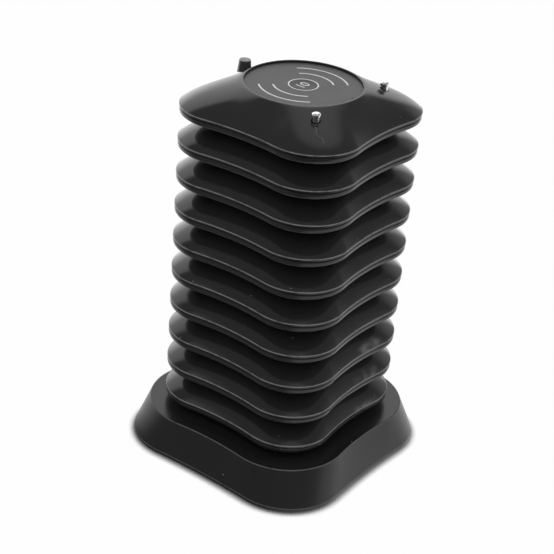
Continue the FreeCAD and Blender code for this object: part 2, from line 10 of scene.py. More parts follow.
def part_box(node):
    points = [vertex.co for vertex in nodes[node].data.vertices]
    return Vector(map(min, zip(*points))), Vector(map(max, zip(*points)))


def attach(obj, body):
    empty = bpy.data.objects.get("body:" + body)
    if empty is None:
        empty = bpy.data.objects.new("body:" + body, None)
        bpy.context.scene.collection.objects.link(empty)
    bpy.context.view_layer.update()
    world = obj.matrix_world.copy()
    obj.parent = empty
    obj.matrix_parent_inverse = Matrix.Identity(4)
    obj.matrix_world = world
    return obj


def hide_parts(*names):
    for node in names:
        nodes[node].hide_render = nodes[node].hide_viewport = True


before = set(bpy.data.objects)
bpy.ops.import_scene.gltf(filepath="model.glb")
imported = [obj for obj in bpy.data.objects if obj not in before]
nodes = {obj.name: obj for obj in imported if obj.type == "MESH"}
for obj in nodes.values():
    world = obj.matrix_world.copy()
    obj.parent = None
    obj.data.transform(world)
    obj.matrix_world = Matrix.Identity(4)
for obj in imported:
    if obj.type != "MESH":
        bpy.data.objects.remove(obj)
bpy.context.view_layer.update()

# %% [markdown]
# # A stack of guest pagers on its charging base
#
# Ten glossy black pagers stand on each other, and the lowest stands on a satin black base. Each
# pager is a shallow dome with four rounded tips, a grey printed disc in its crown, a button in
# the middle of the disc, two bright charging pins and a black locating post.
#
# The frame that was just loaded holds every piece at its real size. What follows dresses it:
# where a CAD solid has flat facets or sharp edges that would show, a smooth surface is worked
# out from a formula and stands for it.

# %% [markdown]
# ## Sizes
#
# All lengths are in metres. The outline is given by three lengths: how far a tip reaches from
# the axis, the radius of the rounded tip, and the radius of the hollow side between two tips.
# Heights of a pager count from its rim line, where the dome meets the lip.

# %% Sizes
MM = 0.001
PAGER_OUTLINE = (56.0 * MM, 22.9 * MM, 125.0 * MM)
SKIRT_OUTLINE = (71.1 * MM, 28.7 * MM, 430.0 * MM)
DECK_OUTLINE = (63.5 * MM, 30.5 * MM, 149.0 * MM)

CROWN_RADIUS = 27.9 * MM
RECESS_RADIUS = 27.3 * MM
BUTTON_RADIUS = 6.3 * MM
GAP = 0.1 * MM
DOME_HEIGHT = 11.1 * MM
LIP_HEIGHT = 1.0 * MM
RECESS_DEPTH = 1.1 * MM
DISC_THICKNESS = 0.8 * MM
GROOVE_HEIGHT = 0.5 * MM
BAND_HEIGHT = 1.5 * MM
BELLY_DEPTH = 5.6 * MM

PIN_CIRCLE = 37.4 * MM
PIN_RADIUS = 2.05 * MM
PIN_ANGLES = (225, 315)
POST_CIRCLE = 34.0 * MM
POST_ANGLE = 90
POST_RADIUS = 2.7 * MM
POST_FLARE = 0.125
TIP_ANGLES = (45, 135, 225, 315)
BASE_SCREW_ANGLES = (15, 165, 195, 345)
BASE_SCREW_CIRCLE = 44.0 * MM

PIN_PROUD = 1.0 * MM
POST_PROUD = 1.4 * MM
SEAT_HEIGHT = 2.4 * MM

DISC_TOP = DOME_HEIGHT - RECESS_DEPTH
RECESS_FLOOR = DISC_TOP - DISC_THICKNESS
PIN_TOP = DOME_HEIGHT + PIN_PROUD
POST_TOP = DOME_HEIGHT + POST_PROUD

PAGER_COUNT = 10
first_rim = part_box("pager_01_upper_shell")[0].z + LIP_HEIGHT
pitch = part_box("pager_02_upper_shell")[0].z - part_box("pager_01_upper_shell")[0].z
rims = [first_rim + pitch * level for level in range(PAGER_COUNT)]
print(f"rim lines from {rims[0] / MM:.1f} to {rims[-1] / MM:.1f} mm, {pitch / MM:.1f} mm apart")

foot_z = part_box("base_plate")[0].z
plate_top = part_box("base_shell")[0].z
seat_top = first_rim - BELLY_DEPTH
deck_top = seat_top - SEAT_HEIGHT
print(f"base plate from {foot_z / MM:.1f} to {plate_top / MM:.1f} mm, deck at {deck_top / MM:.1f} mm")

# %% [markdown]
# ## The camera
#
# A long lens looks down on the stack from above the front tip. The camera is turned by three
# angles: how far it looks up from straight down, a little roll, and its heading.

# %% Camera
CAMERA_PLACE = (-527.7 * MM, -365.0 * MM, 440.6 * MM)
CAMERA_ANGLES = (60.995, -3.241, -50.735)
CAMERA_LENS = 98.07
CAMERA_SHIFT = 0.1


def add(name, data):
    """An object for a camera, a lamp or a mesh. A piece stays at the origin, placed by its mesh."""
    item = bpy.data.objects.new(name, data)
    bpy.context.scene.collection.objects.link(item)
    return item


camera_data = bpy.data.cameras.new("camera")
camera_data.lens = CAMERA_LENS
camera_data.shift_x = CAMERA_SHIFT
camera = add("camera", camera_data)
camera.location = CAMERA_PLACE
camera.rotation_euler = [math.radians(angle) for angle in CAMERA_ANGLES]
bpy.context.scene.camera = camera
print("camera", [round(c, 3) for c in camera.location], "lens", CAMERA_LENS)

# %% [markdown]
# ## Building surfaces
#
# A shape is a grid of points: its rows follow a profile and its columns go round the axis. The
# whole grid is worked out with numpy arrays and handed to the mesh at once. Extruding and
# scaling by hand would give a like shape, but a formula gives exact sizes, and one number
# changes it. Rows that shrink to one point are merged there, so that a pole is closed.

# %% Mesh helpers
SHARP_ANGLE = math.radians(32)
MERGE_DISTANCE = 1e-7


def finish_mesh(mesh):
    """Merge doubled points, turn the faces outwards and shade all but the sharp edges smooth."""
    work = bmesh.new()
    work.from_mesh(mesh)
    bmesh.ops.remove_doubles(work, verts=work.verts, dist=MERGE_DISTANCE)
    bmesh.ops.recalc_face_normals(work, faces=work.faces)
    work.to_mesh(mesh)
    work.free()
    mesh.shade_smooth()
    mesh.set_sharp_from_angle(angle=SHARP_ANGLE)
    return mesh


def grid_faces(rows, columns, closed):
    """The corners of each quad of a grid that is closed along its columns, and maybe its rows."""
    row = np.arange(rows if closed else rows - 1)[:, None]
    column = np.arange(columns)[None, :]
    below = row * columns
    above = (row + 1) % rows * columns
    right = (column + 1) % columns
    return np.stack([below + column, below + right, above + right, above + column], -1).reshape(-1, 4)


def surface(name, radius, height, angle, closed=False):
    """A mesh whose point (i, j) is at radius[i, j] and height[i, j], in direction angle[j]."""
    radius, height, angle = np.broadcast_arrays(radius, height, angle)
    points = np.stack([radius * np.cos(angle), radius * np.sin(angle), height], -1)
    mesh = bpy.data.meshes.new(name)
    faces = grid_faces(*radius.shape, closed)
    mesh.from_pydata(points.reshape(-1, 3).tolist(), [], faces.tolist())
    return finish_mesh(mesh)


def around(count):
    """Directions evenly spread over a full turn."""
    return np.arange(count) * (2 * np.pi / count)


print(f"points closer than {MERGE_DISTANCE / MM:g} mm are merged")

# %% [markdown]
# ## Rounded profiles
#
# Nothing moulded has a truly sharp edge, and the fine bright lines along the rims come from
# these small roundings. A Bevel modifier rounds all sharp edges alike. Here each has its own
# radius: a profile is written as corners with a radius each, and they are turned into arcs.

# %% Profile helper
ARC_STEPS = 6
LONGEST_REACH = 0.45
FLAT_MARGIN = 0.25
WIDEST_MARGIN = 0.04


def rounded(corners, closed=False):
    """A profile through corners (across, height, radius), each turned into an arc of that radius.

    At a corner the arc touches both sides: it starts radius / tan(half the angle) away from it,
    and each of its points is a quadratic blend of its start, the corner and its end. One more
    point close to each end of the arc keeps the flat stretches beside it shaded flat. No arc or
    margin takes more than its share of a side.
    """
    points = np.array([corner[:2] for corner in corners], float)
    path = []
    last = len(corners) - 1
    blend = np.linspace(0, 1, ARC_STEPS)[:, None]
    for index, (here, (_, _, radius)) in enumerate(zip(points, corners)):
        if radius == 0 or (not closed and index in (0, last)):
            path.append(here[None])
            continue
        back = points[index - 1] - here
        on = points[(index + 1) % len(points)] - here
        back_length, on_length = np.linalg.norm(back), np.linalg.norm(on)
        cosine = back @ on / (back_length * on_length)
        half = np.arccos(np.clip(cosine, -1, 1)) / 2
        reach = min(radius / np.tan(half), LONGEST_REACH * back_length, LONGEST_REACH * on_length)
        start = here + back * (reach / back_length)
        end = here + on * (reach / on_length)
        before = start + back * min(FLAT_MARGIN * reach / back_length, WIDEST_MARGIN)
        after = end + on * min(FLAT_MARGIN * reach / on_length, WIDEST_MARGIN)
        arc = (1 - blend) ** 2 * start + 2 * blend * (1 - blend) * here + blend ** 2 * end
        path += [before[None], arc, after[None]]
    return np.concatenate(path)


def turned(name, corners, count, centre):
    """A round piece: the rounded profile turned about an upright axis through the centre."""
    profile = rounded(corners)
    mesh = surface(name, profile[:, :1], profile[:, 1:], around(count))
    mesh.transform(Matrix.Translation((*centre, 0)))
    return mesh


def rod(name, radius, low, high, centre=(0.0, 0.0), count=48):
    """A plain upright cylinder, as a drill leaves it."""
    corners = [(0, low, 0), (radius, low, 0), (radius, high, 0), (0, high, 0)]
    return turned(name, corners, count, centre)


def on_circle(circle, angle):
    """The point at an angle in degrees on a circle about the axis."""
    turn = math.radians(angle)
    return circle * math.cos(turn), circle * math.sin(turn)


def holes(radius, circle, angles, low, high):
    """Cutters for the same hole at several angles on one circle."""
    return [rod("hole", radius, low, high, on_circle(circle, turn)) for turn in angles]


print("a rounded corner takes", len(rounded([(0, 0, 0), (1, 0, 0.1), (1, 1, 0)])) - 2, "points")

# %% [markdown]
# ## Joining and drilling
#
# The shells, the disc and the plate have holes that a turned profile can't give. They could be
# painted on as black spots, but then nothing would go down into them. So each hole is a plain
# cylinder that a Boolean modifier takes away, as a drill does, and the result is kept as a mesh.

# %% Joining and drilling
def joined(name, meshes):
    """One mesh that holds several, each kept apart."""
    work = bmesh.new()
    for mesh in meshes:
        work.from_mesh(mesh)
    result = bpy.data.meshes.new(name)
    work.to_mesh(result)
    work.free()
    result.set_sharp_from_angle(angle=SHARP_ANGLE)
    return result


def final_mesh(piece):
    """The mesh that an object shows: its modifiers are applied, or its text is filled."""
    bpy.context.view_layer.update()
    return bpy.data.meshes.new_from_object(piece.evaluated_get(bpy.context.evaluated_depsgraph_get()))


def drilled(name, mesh, cutters):
    """The mesh less the cutters, as a Boolean modifier leaves it."""
    block = add(name, mesh)
    cutter = add(f"{name}_cutters", joined(f"{name}_cutters", cutters))
    modifier = block.modifiers.new("holes", "BOOLEAN")
    modifier.operation = "DIFFERENCE"
    modifier.solver = "EXACT"
    modifier.object = cutter
    result = final_mesh(block)
    result.name = name
    for item in (block, cutter):
        bpy.data.objects.remove(item)
    result.set_sharp_from_angle(angle=SHARP_ANGLE)
    return result


print(f"edges over {math.degrees(SHARP_ANGLE):.0f} degrees stay sharp")

# %% [markdown]
# ## Shader arithmetic
#
# A material is easier to read as formulas than as a web of nodes. Value wraps one output
# socket: adding or multiplying two of them makes the Math node.

# %% Value
class Value:
    """A number or vector that varies over a surface; arithmetic on it adds Math nodes."""

    def __init__(self, paint, socket):
        self.paint = paint
        self.socket = socket

    def math(self, operation, *numbers):
        return self.paint.node("ShaderNodeMath", {"operation": operation}, dict(enumerate(numbers)))

    def __add__(self, other):
        return self.math("ADD", self, other)

    def __sub__(self, other):
        return self.math("SUBTRACT", self, other)

    def __rsub__(self, other):
        return self.math("SUBTRACT", other, self)

    def __mul__(self, other):
        return self.math("MULTIPLY", self, other)

    def __truediv__(self, other):
        return self.math("DIVIDE", self, other)

    def __rtruediv__(self, other):
        return self.math("DIVIDE", other, self)

    def __gt__(self, other):
        return self.math("GREATER_THAN", self, other)

    def __lt__(self, other):
        return self.math("LESS_THAN", self, other)

    __radd__ = __add__
    __rmul__ = __mul__

    def abs(self):
        return self.math("ABSOLUTE", self)

    def clamp(self):
        return self.paint.node("ShaderNodeClamp", {}, {0: self})

    def root(self):
        return self.math("SQRT", self)

    def sine(self):
        return self.math("SINE", self)

    def swing(self, length):
        """How far from the nearest of the places 0, 2, 4 ... times the length."""
        return self.math("PINGPONG", self, length)

    def fade(self, low, high):
        """0 below low, 1 above high, and a smooth rise between."""
        return self.paint.node("ShaderNodeMapRange", {"interpolation_type": "SMOOTHSTEP"},
                               {"Value": self, "From Min": low, "From Max": high})


print("Value can do:", ", ".join(name for name in vars(Value) if name[0] != "_"))

# %% [markdown]
# ## Paint
#
# Paint holds one material. It makes any node from its type, its settings and what goes into its
# sockets, so that a finish can be written in a few lines. Patterns are worked out from the place
# on the piece, and not from an image: they need no unwrapping and stay sharp at any distance.

# %% Paint
class Paint:
    """A procedural material: one Principled shader and the nodes that feed it."""

    def __init__(self, name, **constants):
        self.material = bpy.data.materials.new(name)
        self.material.use_nodes = True
        self.tree = self.material.node_tree
        self.shader = self.tree.nodes["Principled BSDF"]
        for socket, constant in constants.items():
            self.shader.inputs[socket.replace("_", " ")].default_value = constant

    def node(self, kind, settings, inputs, output=0):
        """Any node: its settings are set first, then each input gets its number or link."""
        item = self.tree.nodes.new(kind)
        for name, setting in settings.items():
            setattr(item, name, setting)
        for name, given in inputs.items():
            self.join(given, item.inputs[name])
        return Value(self, item.outputs[output])

    def join(self, given, socket):
        """A link, where something varying is given, and otherwise the socket's own setting."""
        if isinstance(given, Value):
            self.tree.links.new(given.socket, socket)
        else:
            socket.default_value = given

    def feed(self, **values):
        """Link values to the shader's own sockets."""
        for name, given in values.items():
            self.join(given, self.shader.inputs[name.replace("_", " ")])

    def place(self):
        """Object coordinates: the place on the piece itself."""
        return self.node("ShaderNodeTexCoord", {}, {}, "Object")

    def axes(self):
        """The x, y and z of the place on the piece, in metres."""
        split = self.node("ShaderNodeSeparateXYZ", {}, {0: self.place()})
        return [Value(self, split.socket.node.outputs[name]) for name in "XYZ"]

    def noise(self, scale, detail=3.0, roughness=0.55, squeeze=(1, 1, 1)):
        """A cloudy pattern, finer with the scale, and finer along an axis that is squeezed."""
        where = self.node("ShaderNodeMapping", {}, {"Vector": self.place(), "Scale": squeeze})
        return self.node("ShaderNodeTexNoise", {}, {"Vector": where, "Scale": scale, "Detail": detail,
                                                    "Roughness": roughness})

    def mix(self, factor, first, second):
        """A colour that goes from the first to the second."""
        return self.node("ShaderNodeMix", {"data_type": "RGBA"},
                         {"Factor": factor, 6: first, 7: second}, 2)

    def bump(self, height, distance):
        """Feed the Normal with a relief whose full height is the distance, in metres."""
        self.feed(Normal=self.node("ShaderNodeBump", {}, {"Height": height, "Distance": distance}))

    def rays(self):
        """1 for a ray from the camera, and 1 for one that a surface mirrors or lets through."""
        camera_ray = self.node("ShaderNodeLightPath", {}, {}, "Is Camera Ray")
        kinds = camera_ray.socket.node.outputs
        mirrored = Value(self, kinds["Is Glossy Ray"]) + Value(self, kinds["Is Transmission Ray"])
        return camera_ray, mirrored.clamp()

    def specks(self, scale, share, size):
        """Scattered dots: a share of the cells hold one, and size is its part of the cell."""
        settings = {"feature": "F1"}
        cell = self.node("ShaderNodeTexVoronoi", settings, {"Vector": self.place(), "Scale": scale})
        colour = Value(self, cell.socket.node.outputs["Color"])
        pick = self.node("ShaderNodeSeparateColor", {}, {0: colour})
        return (cell < size) * (pick < share)


def near(value, target, full, none):
    """1 while a value is within full of its target, 0 past none, and a smooth fall between."""
    return 1 - (value - target).abs().fade(full, none)


def span(x, y):
    """The length of (x, y): the root of the sum of their squares."""
    return (x * x + y * y).root()


def grey(level):
    """A neutral colour."""
    return (level, level, level, 1.0)


print("Paint can do:", ", ".join(name for name in vars(Paint) if name[0] != "_"))

# %% [markdown]
# ## Glossy black plastic
#
# The pagers are polished black plastic. What the eye sees is nearly all reflection, so the
# detail is in how clean it is: a faint waviness from the mould, hairlines from years of
# stacking, a film of fingerprints that dulls it in patches, and specks of dust. Handling also
# scuffs the sharp rim and the turn of the belly. The fine pale lines round every pager are
# these scuffs with painted highlight: their colour is paler than wear alone, for the light
# that the small roundings of the two edges catch. All pagers are the same height apart, so the
# distance to the nearest such line is a swing of the height. The noises read the place in the
# whole stack, so that one material gives each pager marks of its own, where an image would
# repeat.

# %% Glossy black plastic
PLASTIC_BLACK = 0.012
# Pale rim and belly lines: scuff wear with painted highlight, paler than the wear alone.
RIM_SCUFF_AND_HIGHLIGHT = (0.0, 0.12 * MM, 0.28 * MM, 0.15)
BELLY_SCUFF_AND_HIGHLIGHT = (-3.85 * MM, 0.15 * MM, 0.45 * MM, 0.30)
HANDLING_FILM = 0.10
HAIRLINE_DULL = 0.08
DUST_DULL = 0.3
SCUFF_DULL = 0.25
DOME_DUST = grey(0.16)
WAVINESS = 0.004 * MM


def from_line(z, height):
    """Distance to the nearest of the lines at that height from a rim line: they are a pitch apart."""
    return (z - (rims[0] + height - pitch)).swing(pitch / 2)


def gloss_black(name, roughness, scuffed_highlight):
    """Polished plastic with a pale line round it: scuff wear with painted highlight.

    Its last argument sets the pale line: (height from the rim line, full half width,
    faded half width, tone).
    """
    height, full, faded, tone = scuffed_highlight
    paint = Paint(name, IOR=1.5)
    _, _, z = paint.axes()
    film = paint.noise(55, 5, 0.6).fade(0.48, 0.72)
    hairline = paint.noise(70, 4, 0.7, squeeze=(1, 22, 5)).fade(0.64, 0.70)
    dust = paint.specks(420, 0.035, 0.10)
    # Painted highlight: the pale line stands partly for a scuff and partly for light caught by the
    # edge.
    scuff_and_highlight = (1 - from_line(z, height).fade(full, faded)) * paint.noise(300).fade(0.1, 0.55)
    black = paint.mix(scuff_and_highlight, grey(PLASTIC_BLACK), grey(tone))
    dulled = roughness + HANDLING_FILM * film + HAIRLINE_DULL * hairline
    paint.feed(Base_Color=paint.mix(dust, black, DOME_DUST),
               Roughness=dulled + DUST_DULL * dust + SCUFF_DULL * scuff_and_highlight)
    paint.bump(paint.noise(160, 2) + 0.12 * hairline, WAVINESS)
    return paint


print(f"rim scuffs {2 * RIM_SCUFF_AND_HIGHLIGHT[1] / MM:.2f} mm wide, belly scuffs {2 * BELLY_SCUFF_AND_HIGHLIGHT[1] / MM:.2f} mm")

# %% [markdown]
# ## Marks of use
#
# Two marks make the stack look handled. The three lowest pagers have a dusty wipe on the side
# to the right of the front tip, where a hand takes them: an oval that a noise breaks up. On the
# top one lies a fine fibre, which is a wavy line: it is near where the distance across the
# line, less a sine of the distance along it, is close to nothing.

# %% Marks of use
WIPE_CENTRE = (12.5 * MM, -43.8 * MM)
WIPE_HALF = (12.0 * MM, 3.2 * MM)
WIPE_TONE = 0.11
FIBRE_START = (-29.8 * MM, -27.3 * MM)
FIBRE_HEADING = 244.0
FIBRE_LENGTH = 10.5 * MM
FIBRE_HALF_WIDTH = 0.10 * MM
FIBRE_WAVE = 7.0 * MM
FIBRE_SWAY = 0.7 * MM
FIBRE_TONE = 0.11


def add_wipe(paint, below):
    """A broken pale oval on the pagers under a height."""
    x, y, z = paint.axes()
    along = (x - WIPE_CENTRE[0]) * (1 / WIPE_HALF[0])
    across = (y - WIPE_CENTRE[1]) * (1 / WIPE_HALF[1])
    oval = 1 - span(along, across).fade(0.30, 1.0)
    return oval * paint.noise(130, 3, 0.5).fade(0.34, 0.68) * (z < below)


def add_fibre(paint, above):
    """A thin wavy line on the pager over a height."""
    x, y, z = paint.axes()
    east, north = x - FIBRE_START[0], y - FIBRE_START[1]
    turn = math.radians(FIBRE_HEADING)
    along = east * math.cos(turn) + north * math.sin(turn)
    across = north * math.cos(turn) - east * math.sin(turn)
    wave = (along * (2 * math.pi / FIBRE_WAVE)).sine() * FIBRE_SWAY
    line = near(across, wave, 0.5 * FIBRE_HALF_WIDTH, FIBRE_HALF_WIDTH)
    return line * (along > 0) * (along < FIBRE_LENGTH) * (z > above)


def dome_paint():
    """The upper shells' plastic with the wipe and the fibre over its base colour."""
    paint = gloss_black("gloss_black_dome", 0.085, RIM_SCUFF_AND_HIGHLIGHT)
    clean = Value(paint, paint.shader.inputs["Base Color"].links[0].from_socket)
    wiped = paint.mix(add_wipe(paint, rims[3]), clean, grey(WIPE_TONE))
    paint.feed(Base_Color=paint.mix(add_fibre(paint, rims[9]), wiped, grey(FIBRE_TONE)))
    return paint.material


dome_black = dome_paint()
belly_black = gloss_black("gloss_black_belly", 0.14, BELLY_SCUFF_AND_HIGHLIGHT).material
print("made", dome_black.name, "and", belly_black.name)

# %% [markdown]
# ## Satin black, matt grey and the rest
#
# The base has a fine spark-eroded grain that softens its reflections. The disc is a matt grey
# film with white arcs printed on it: an arc is where the distance from the middle is close to
# one of two radii and the direction is within 45 degrees of left or right. A ring closes
# round the button. The print could be an image, but these distances keep it sharp at any size.

# %% Base, disc and button paints
ARC_RADII = (13.9 * MM, 20.5 * MM)
ARC_WIDTH = 0.75 * MM
RING_RADIUS = 6.78 * MM
RING_WIDTH = 0.62 * MM
PRINT_EDGE = 0.04 * MM
PRINT_WHITE = grey(0.68)
PINHOLE_PLACE = (2.9 * MM, -25.1 * MM)
PINHOLE_RADIUS = 0.4 * MM
# Painted shade of the pinhole: near black over the hole and a ring this wide round it.
PINHOLE_SHADE = 0.1 * MM
DISC_TONES = (grey(0.060), grey(0.074))
DISC_DUST = grey(0.35)
# The pinhole's painted shade, near black.
PINHOLE_PAINTED_SHADE = grey(0.002)
PRINT_RELIEF = 0.004 * MM
BASE_TONES = (grey(0.007), grey(0.011))
BASE_DUST = grey(0.22)
BASE_GRAIN = 0.006 * MM
# Paler colour of the base's edges: scuff wear with painted highlight.
EDGE_SCUFF_AND_HIGHLIGHT = grey(0.07)
MATT_GRAIN = 0.008 * MM
POST_TONE = grey(0.026)
# Paler colour of the post tops: scuff wear with painted highlight.
POST_SCUFFED_AND_HIGHLIT = grey(0.15)
POST_GRAIN = 0.004 * MM
# Where the base's pale foot step and deck edge lie: scuff wear with painted highlight.
FOOT_SCUFF_AND_HIGHLIGHT = (0.15 * MM, 0.32 * MM)
DECK_SCUFF_AND_HIGHLIGHT = (0.14 * MM, 0.25 * MM)
DECK_SCUFF_AND_HIGHLIGHT_DROP = 0.27 * MM
# The post's paler top band: scuff wear with painted highlight.
POST_SCUFF_AND_HIGHLIGHT = (0.25 * MM, 0.5 * MM)


def satin_black():
    """Satin plastic: a fine grain, slow changes of dullness, and two edges, set by height, paled as
    scuff wear with painted highlight.
    """
    paint = Paint("satin_black_base", IOR=1.5)
    _, _, z = paint.axes()
    # Painted highlight: the foot step and deck edge are paler, partly for scuffs and partly for the
    # light they catch.
    edges = near(z, plate_top, *FOOT_SCUFF_AND_HIGHLIGHT) + near(z, deck_top - DECK_SCUFF_AND_HIGHLIGHT_DROP, *DECK_SCUFF_AND_HIGHLIGHT)
    scuff_and_highlight = edges * paint.noise(400).fade(0.2, 0.5)
    haze = paint.noise(30, 4, 0.6)
    grain = paint.noise(2600, 2, 0.5)
    dust = paint.specks(300, 0.05, 0.09)
    black = paint.mix(scuff_and_highlight, paint.mix(haze, *BASE_TONES), EDGE_SCUFF_AND_HIGHLIGHT)
    paint.feed(Base_Color=paint.mix(dust, black, BASE_DUST),
               Roughness=0.20 + 0.10 * haze + 0.2 * dust + 0.2 * scuff_and_highlight)
    paint.bump(grain, BASE_GRAIN)
    return paint.material


def printed_grey():
    """Matt grey film with two pairs of white arcs and a ring, and painted shade at the pinhole."""
    paint = Paint("printed_grey_disc", IOR=1.45)
    x, y, _ = paint.axes()
    distance = span(x, y)
    sideways = (y.abs() - x.abs()) < 0
    inner, outer = [near(distance, radius, ARC_WIDTH / 2 - PRINT_EDGE, ARC_WIDTH / 2)
                    for radius in ARC_RADII]
    ring = near(distance, RING_RADIUS, RING_WIDTH / 2 - PRINT_EDGE, RING_WIDTH / 2)
    ink = ((inner + outer) * sideways + ring).clamp()
    grain = paint.noise(5200, 2, 0.6)
    tone = paint.mix(grain.fade(0.3, 0.7), *DISC_TONES)
    # Painted shade: the pinhole and a thin ring round it are coloured near black, for the shade inside
    # the hole.
    from_pinhole = span(x - PINHOLE_PLACE[0], y - PINHOLE_PLACE[1])
    tone = paint.mix(from_pinhole < PINHOLE_RADIUS + PINHOLE_SHADE, tone, PINHOLE_PAINTED_SHADE)
    dust = paint.specks(600, 0.02, 0.10)
    paint.feed(Base_Color=paint.mix(ink, paint.mix(dust, tone, DISC_DUST), PRINT_WHITE),
               Roughness=0.46 - 0.10 * ink + 0.10 * paint.noise(80))
    paint.bump(grain + 0.8 * ink, PRINT_RELIEF)
    return paint.material


def matt_plastic(name, level, roughness, grain_scale=2200, shine=0.5):
    """Plain moulded plastic with a fine grain and a slight change of tone."""
    paint = Paint(name, IOR=1.48, Specular_IOR_Level=shine)
    blotch = paint.noise(120)
    paint.feed(Base_Color=paint.mix(blotch, grey(level * 0.8), grey(level * 1.2)),
               Roughness=roughness + 0.12 * (blotch - 0.5))
    paint.bump(paint.noise(grain_scale, 2), MATT_GRAIN)
    return paint.material


def post_plastic():
    """The dome's plastic, moulded a little duller, with a top paled as scuff wear and painted
    highlight: all tops are a pitch apart.
    """
    paint = Paint("post_black", IOR=1.5)
    _, _, z = paint.axes()
    # Painted highlight: the post's top is paler, partly for scuffs and partly for the light its top
    # face catches.
    scuff_and_highlight = (1 - from_line(z, POST_TOP).fade(*POST_SCUFF_AND_HIGHLIGHT)) * paint.noise(500).fade(0.1, 0.6)
    paint.feed(Base_Color=paint.mix(scuff_and_highlight, POST_TONE, POST_SCUFFED_AND_HIGHLIT), Roughness=0.30 - 0.10 * scuff_and_highlight)
    paint.bump(paint.noise(1800, 2), POST_GRAIN)
    return paint.material


base_black = satin_black()
disc_grey = printed_grey()
button_grey = matt_plastic("button_grey", 0.020, 0.40, shine=0.3)
post_black = post_plastic()
socket_black = matt_plastic("socket_black", 0.012, 0.5)
foot_rubber = matt_plastic("foot_rubber", 0.02, 0.85, 900)
print("made", base_black.name, disc_grey.name, button_grey.name)

# %% [markdown]
# ## Metals, board and print
#
# The pins are turned from rod and plated, so fine rings run round them: a sine of the height
# makes both the relief and a slight change of dullness. An image of brushed metal would do the
# same for one size only. The board's tracks are where a noise without fine detail, squeezed
# along one axis, is above its middle. The ink is nearly plain, as screen print is.

# %% Metals, board and print paints
RING_RATE = 52000
RING_RELIEF = 0.0015 * MM
TRACK_RELIEF = 0.02 * MM
LACQUER_DARK = (0.010, 0.075, 0.030, 1)
LACQUER_PALE = (0.022, 0.14, 0.055, 1)


def dull_spots(paint):
    """1 where the plating has gone dull, in small spots."""
    return paint.noise(900, 4).fade(0.52, 0.75)


def plated(name, level, roughness):
    """Plated metal: turning marks run round it as fine rings, with a few dull spots."""
    paint = Paint(name, Metallic=1.0)
    _, _, z = paint.axes()
    rings = (z * RING_RATE).sine()
    spots = dull_spots(paint)
    paint.feed(Base_Color=paint.mix(spots, grey(level), grey(level * 0.72)),
               Roughness=roughness + 0.16 * spots + 0.02 * rings)
    paint.bump(rings, RING_RELIEF)
    return paint.material


def tracks(paint):
    """1 on the board's tracks and 0 between them: a stepped noise, squeezed along y."""
    return paint.noise(260, 0, squeeze=(1, 4, 1)).fade(0.5, 0.53)


def circuit_green():
    """Green lacquer over copper: the tracks stand up a little and show paler."""
    paint = Paint("circuit_green", IOR=1.5)
    track = tracks(paint)
    paint.feed(Base_Color=paint.mix(track, LACQUER_DARK, LACQUER_PALE),
               Roughness=0.30 + 0.12 * paint.noise(300))
    paint.bump(track, TRACK_RELIEF)
    return paint.material


def white_ink():
    """Screen-printed ink, a little uneven."""
    paint = Paint("white_ink", IOR=1.45)
    wear = paint.noise(1500)
    paint.feed(Base_Color=paint.mix(wear.fade(0.5, 0.8), PRINT_WHITE, grey(0.6)),
               Roughness=0.4 + 0.2 * wear)
    return paint.material


pin_metal = plated("bright_plated_pin", 0.88, 0.08)
screw_metal = plated("zinc_screw", 0.42, 0.32)
black_screw = plated("black_oxide_screw", 0.02, 0.45)
foil_metal = plated("cell_foil", 0.6, 0.38)
board_paint = circuit_green()
number_ink = white_ink()
print("made", pin_metal.name, screw_metal.name, board_paint.name)

# %% [markdown]
# ## The four-lobed outline
#
# Seen from above, a pager is four circles on the diagonals joined by four hollow arcs. The
# shape could be drawn as a curve, but then a wall that lies a little further in would need a
# curve of its own. So it is worked out as a distance from the axis for any direction and any
# inset. Folded into one eighth turn, a direction meets either the tip's circle or the side's,
# and the two meet where they touch.

# %% Outline
def outline(angle, shape, inset=0.0):
    """Distance from the axis to the outline, in each direction.

    A ray at angle a from the line to a circle's centre, at distance d, meets a circle of radius r
    at d cos a + root(r^2 - d^2 sin^2 a) on its far side, and with a minus on its near side.
    """
    reach, tip, waist = shape
    tip_distance = reach - tip
    corner = tip_distance / math.sqrt(2)
    side_distance = corner + math.sqrt((tip + waist) ** 2 - corner ** 2)
    tip_radius = tip - inset
    waist_radius = waist + inset
    from_tip = np.abs(angle % (np.pi / 2) - np.pi / 4)
    from_side = np.pi / 4 - from_tip
    bulge = np.sqrt(np.maximum(tip_radius ** 2 - (tip_distance * np.sin(from_tip)) ** 2, 0))
    hollow = np.sqrt(waist_radius ** 2 - (side_distance * np.sin(from_side)) ** 2)
    share = tip_radius / (tip + waist)
    touch = np.array([corner + share * (side_distance - corner), corner * (1 - share)])
    switch = np.pi / 4 - math.atan2(touch[1], touch[0])
    return np.where(from_tip < switch, tip_distance * np.cos(from_tip) + bulge,
                    side_distance * np.cos(from_side) - hollow)


AROUND = 320
turns = around(AROUND)
rim = outline(turns, PAGER_OUTLINE)
waistness = np.cos(2 * turns) ** 2
print(f"rim from {rim.min() / MM:.1f} to {rim.max() / MM:.1f} mm")


def lobed(profile, shape):
    """Distances and heights of a profile given as (inset from the outline, height)."""
    return np.array([outline(turns, shape, inset) for inset, _ in profile]), profile[:, 1:]


def capped(name, radius, height):
    """A lobed body whose first and last rows lie flat, each closed at a point on the axis."""
    height = height * np.ones_like(turns)
    pole = np.zeros_like(turns)[None]
    return surface(name, np.concatenate([pole, radius, pole]),
                   np.concatenate([height[:1], height, height[-1:]]), turns)


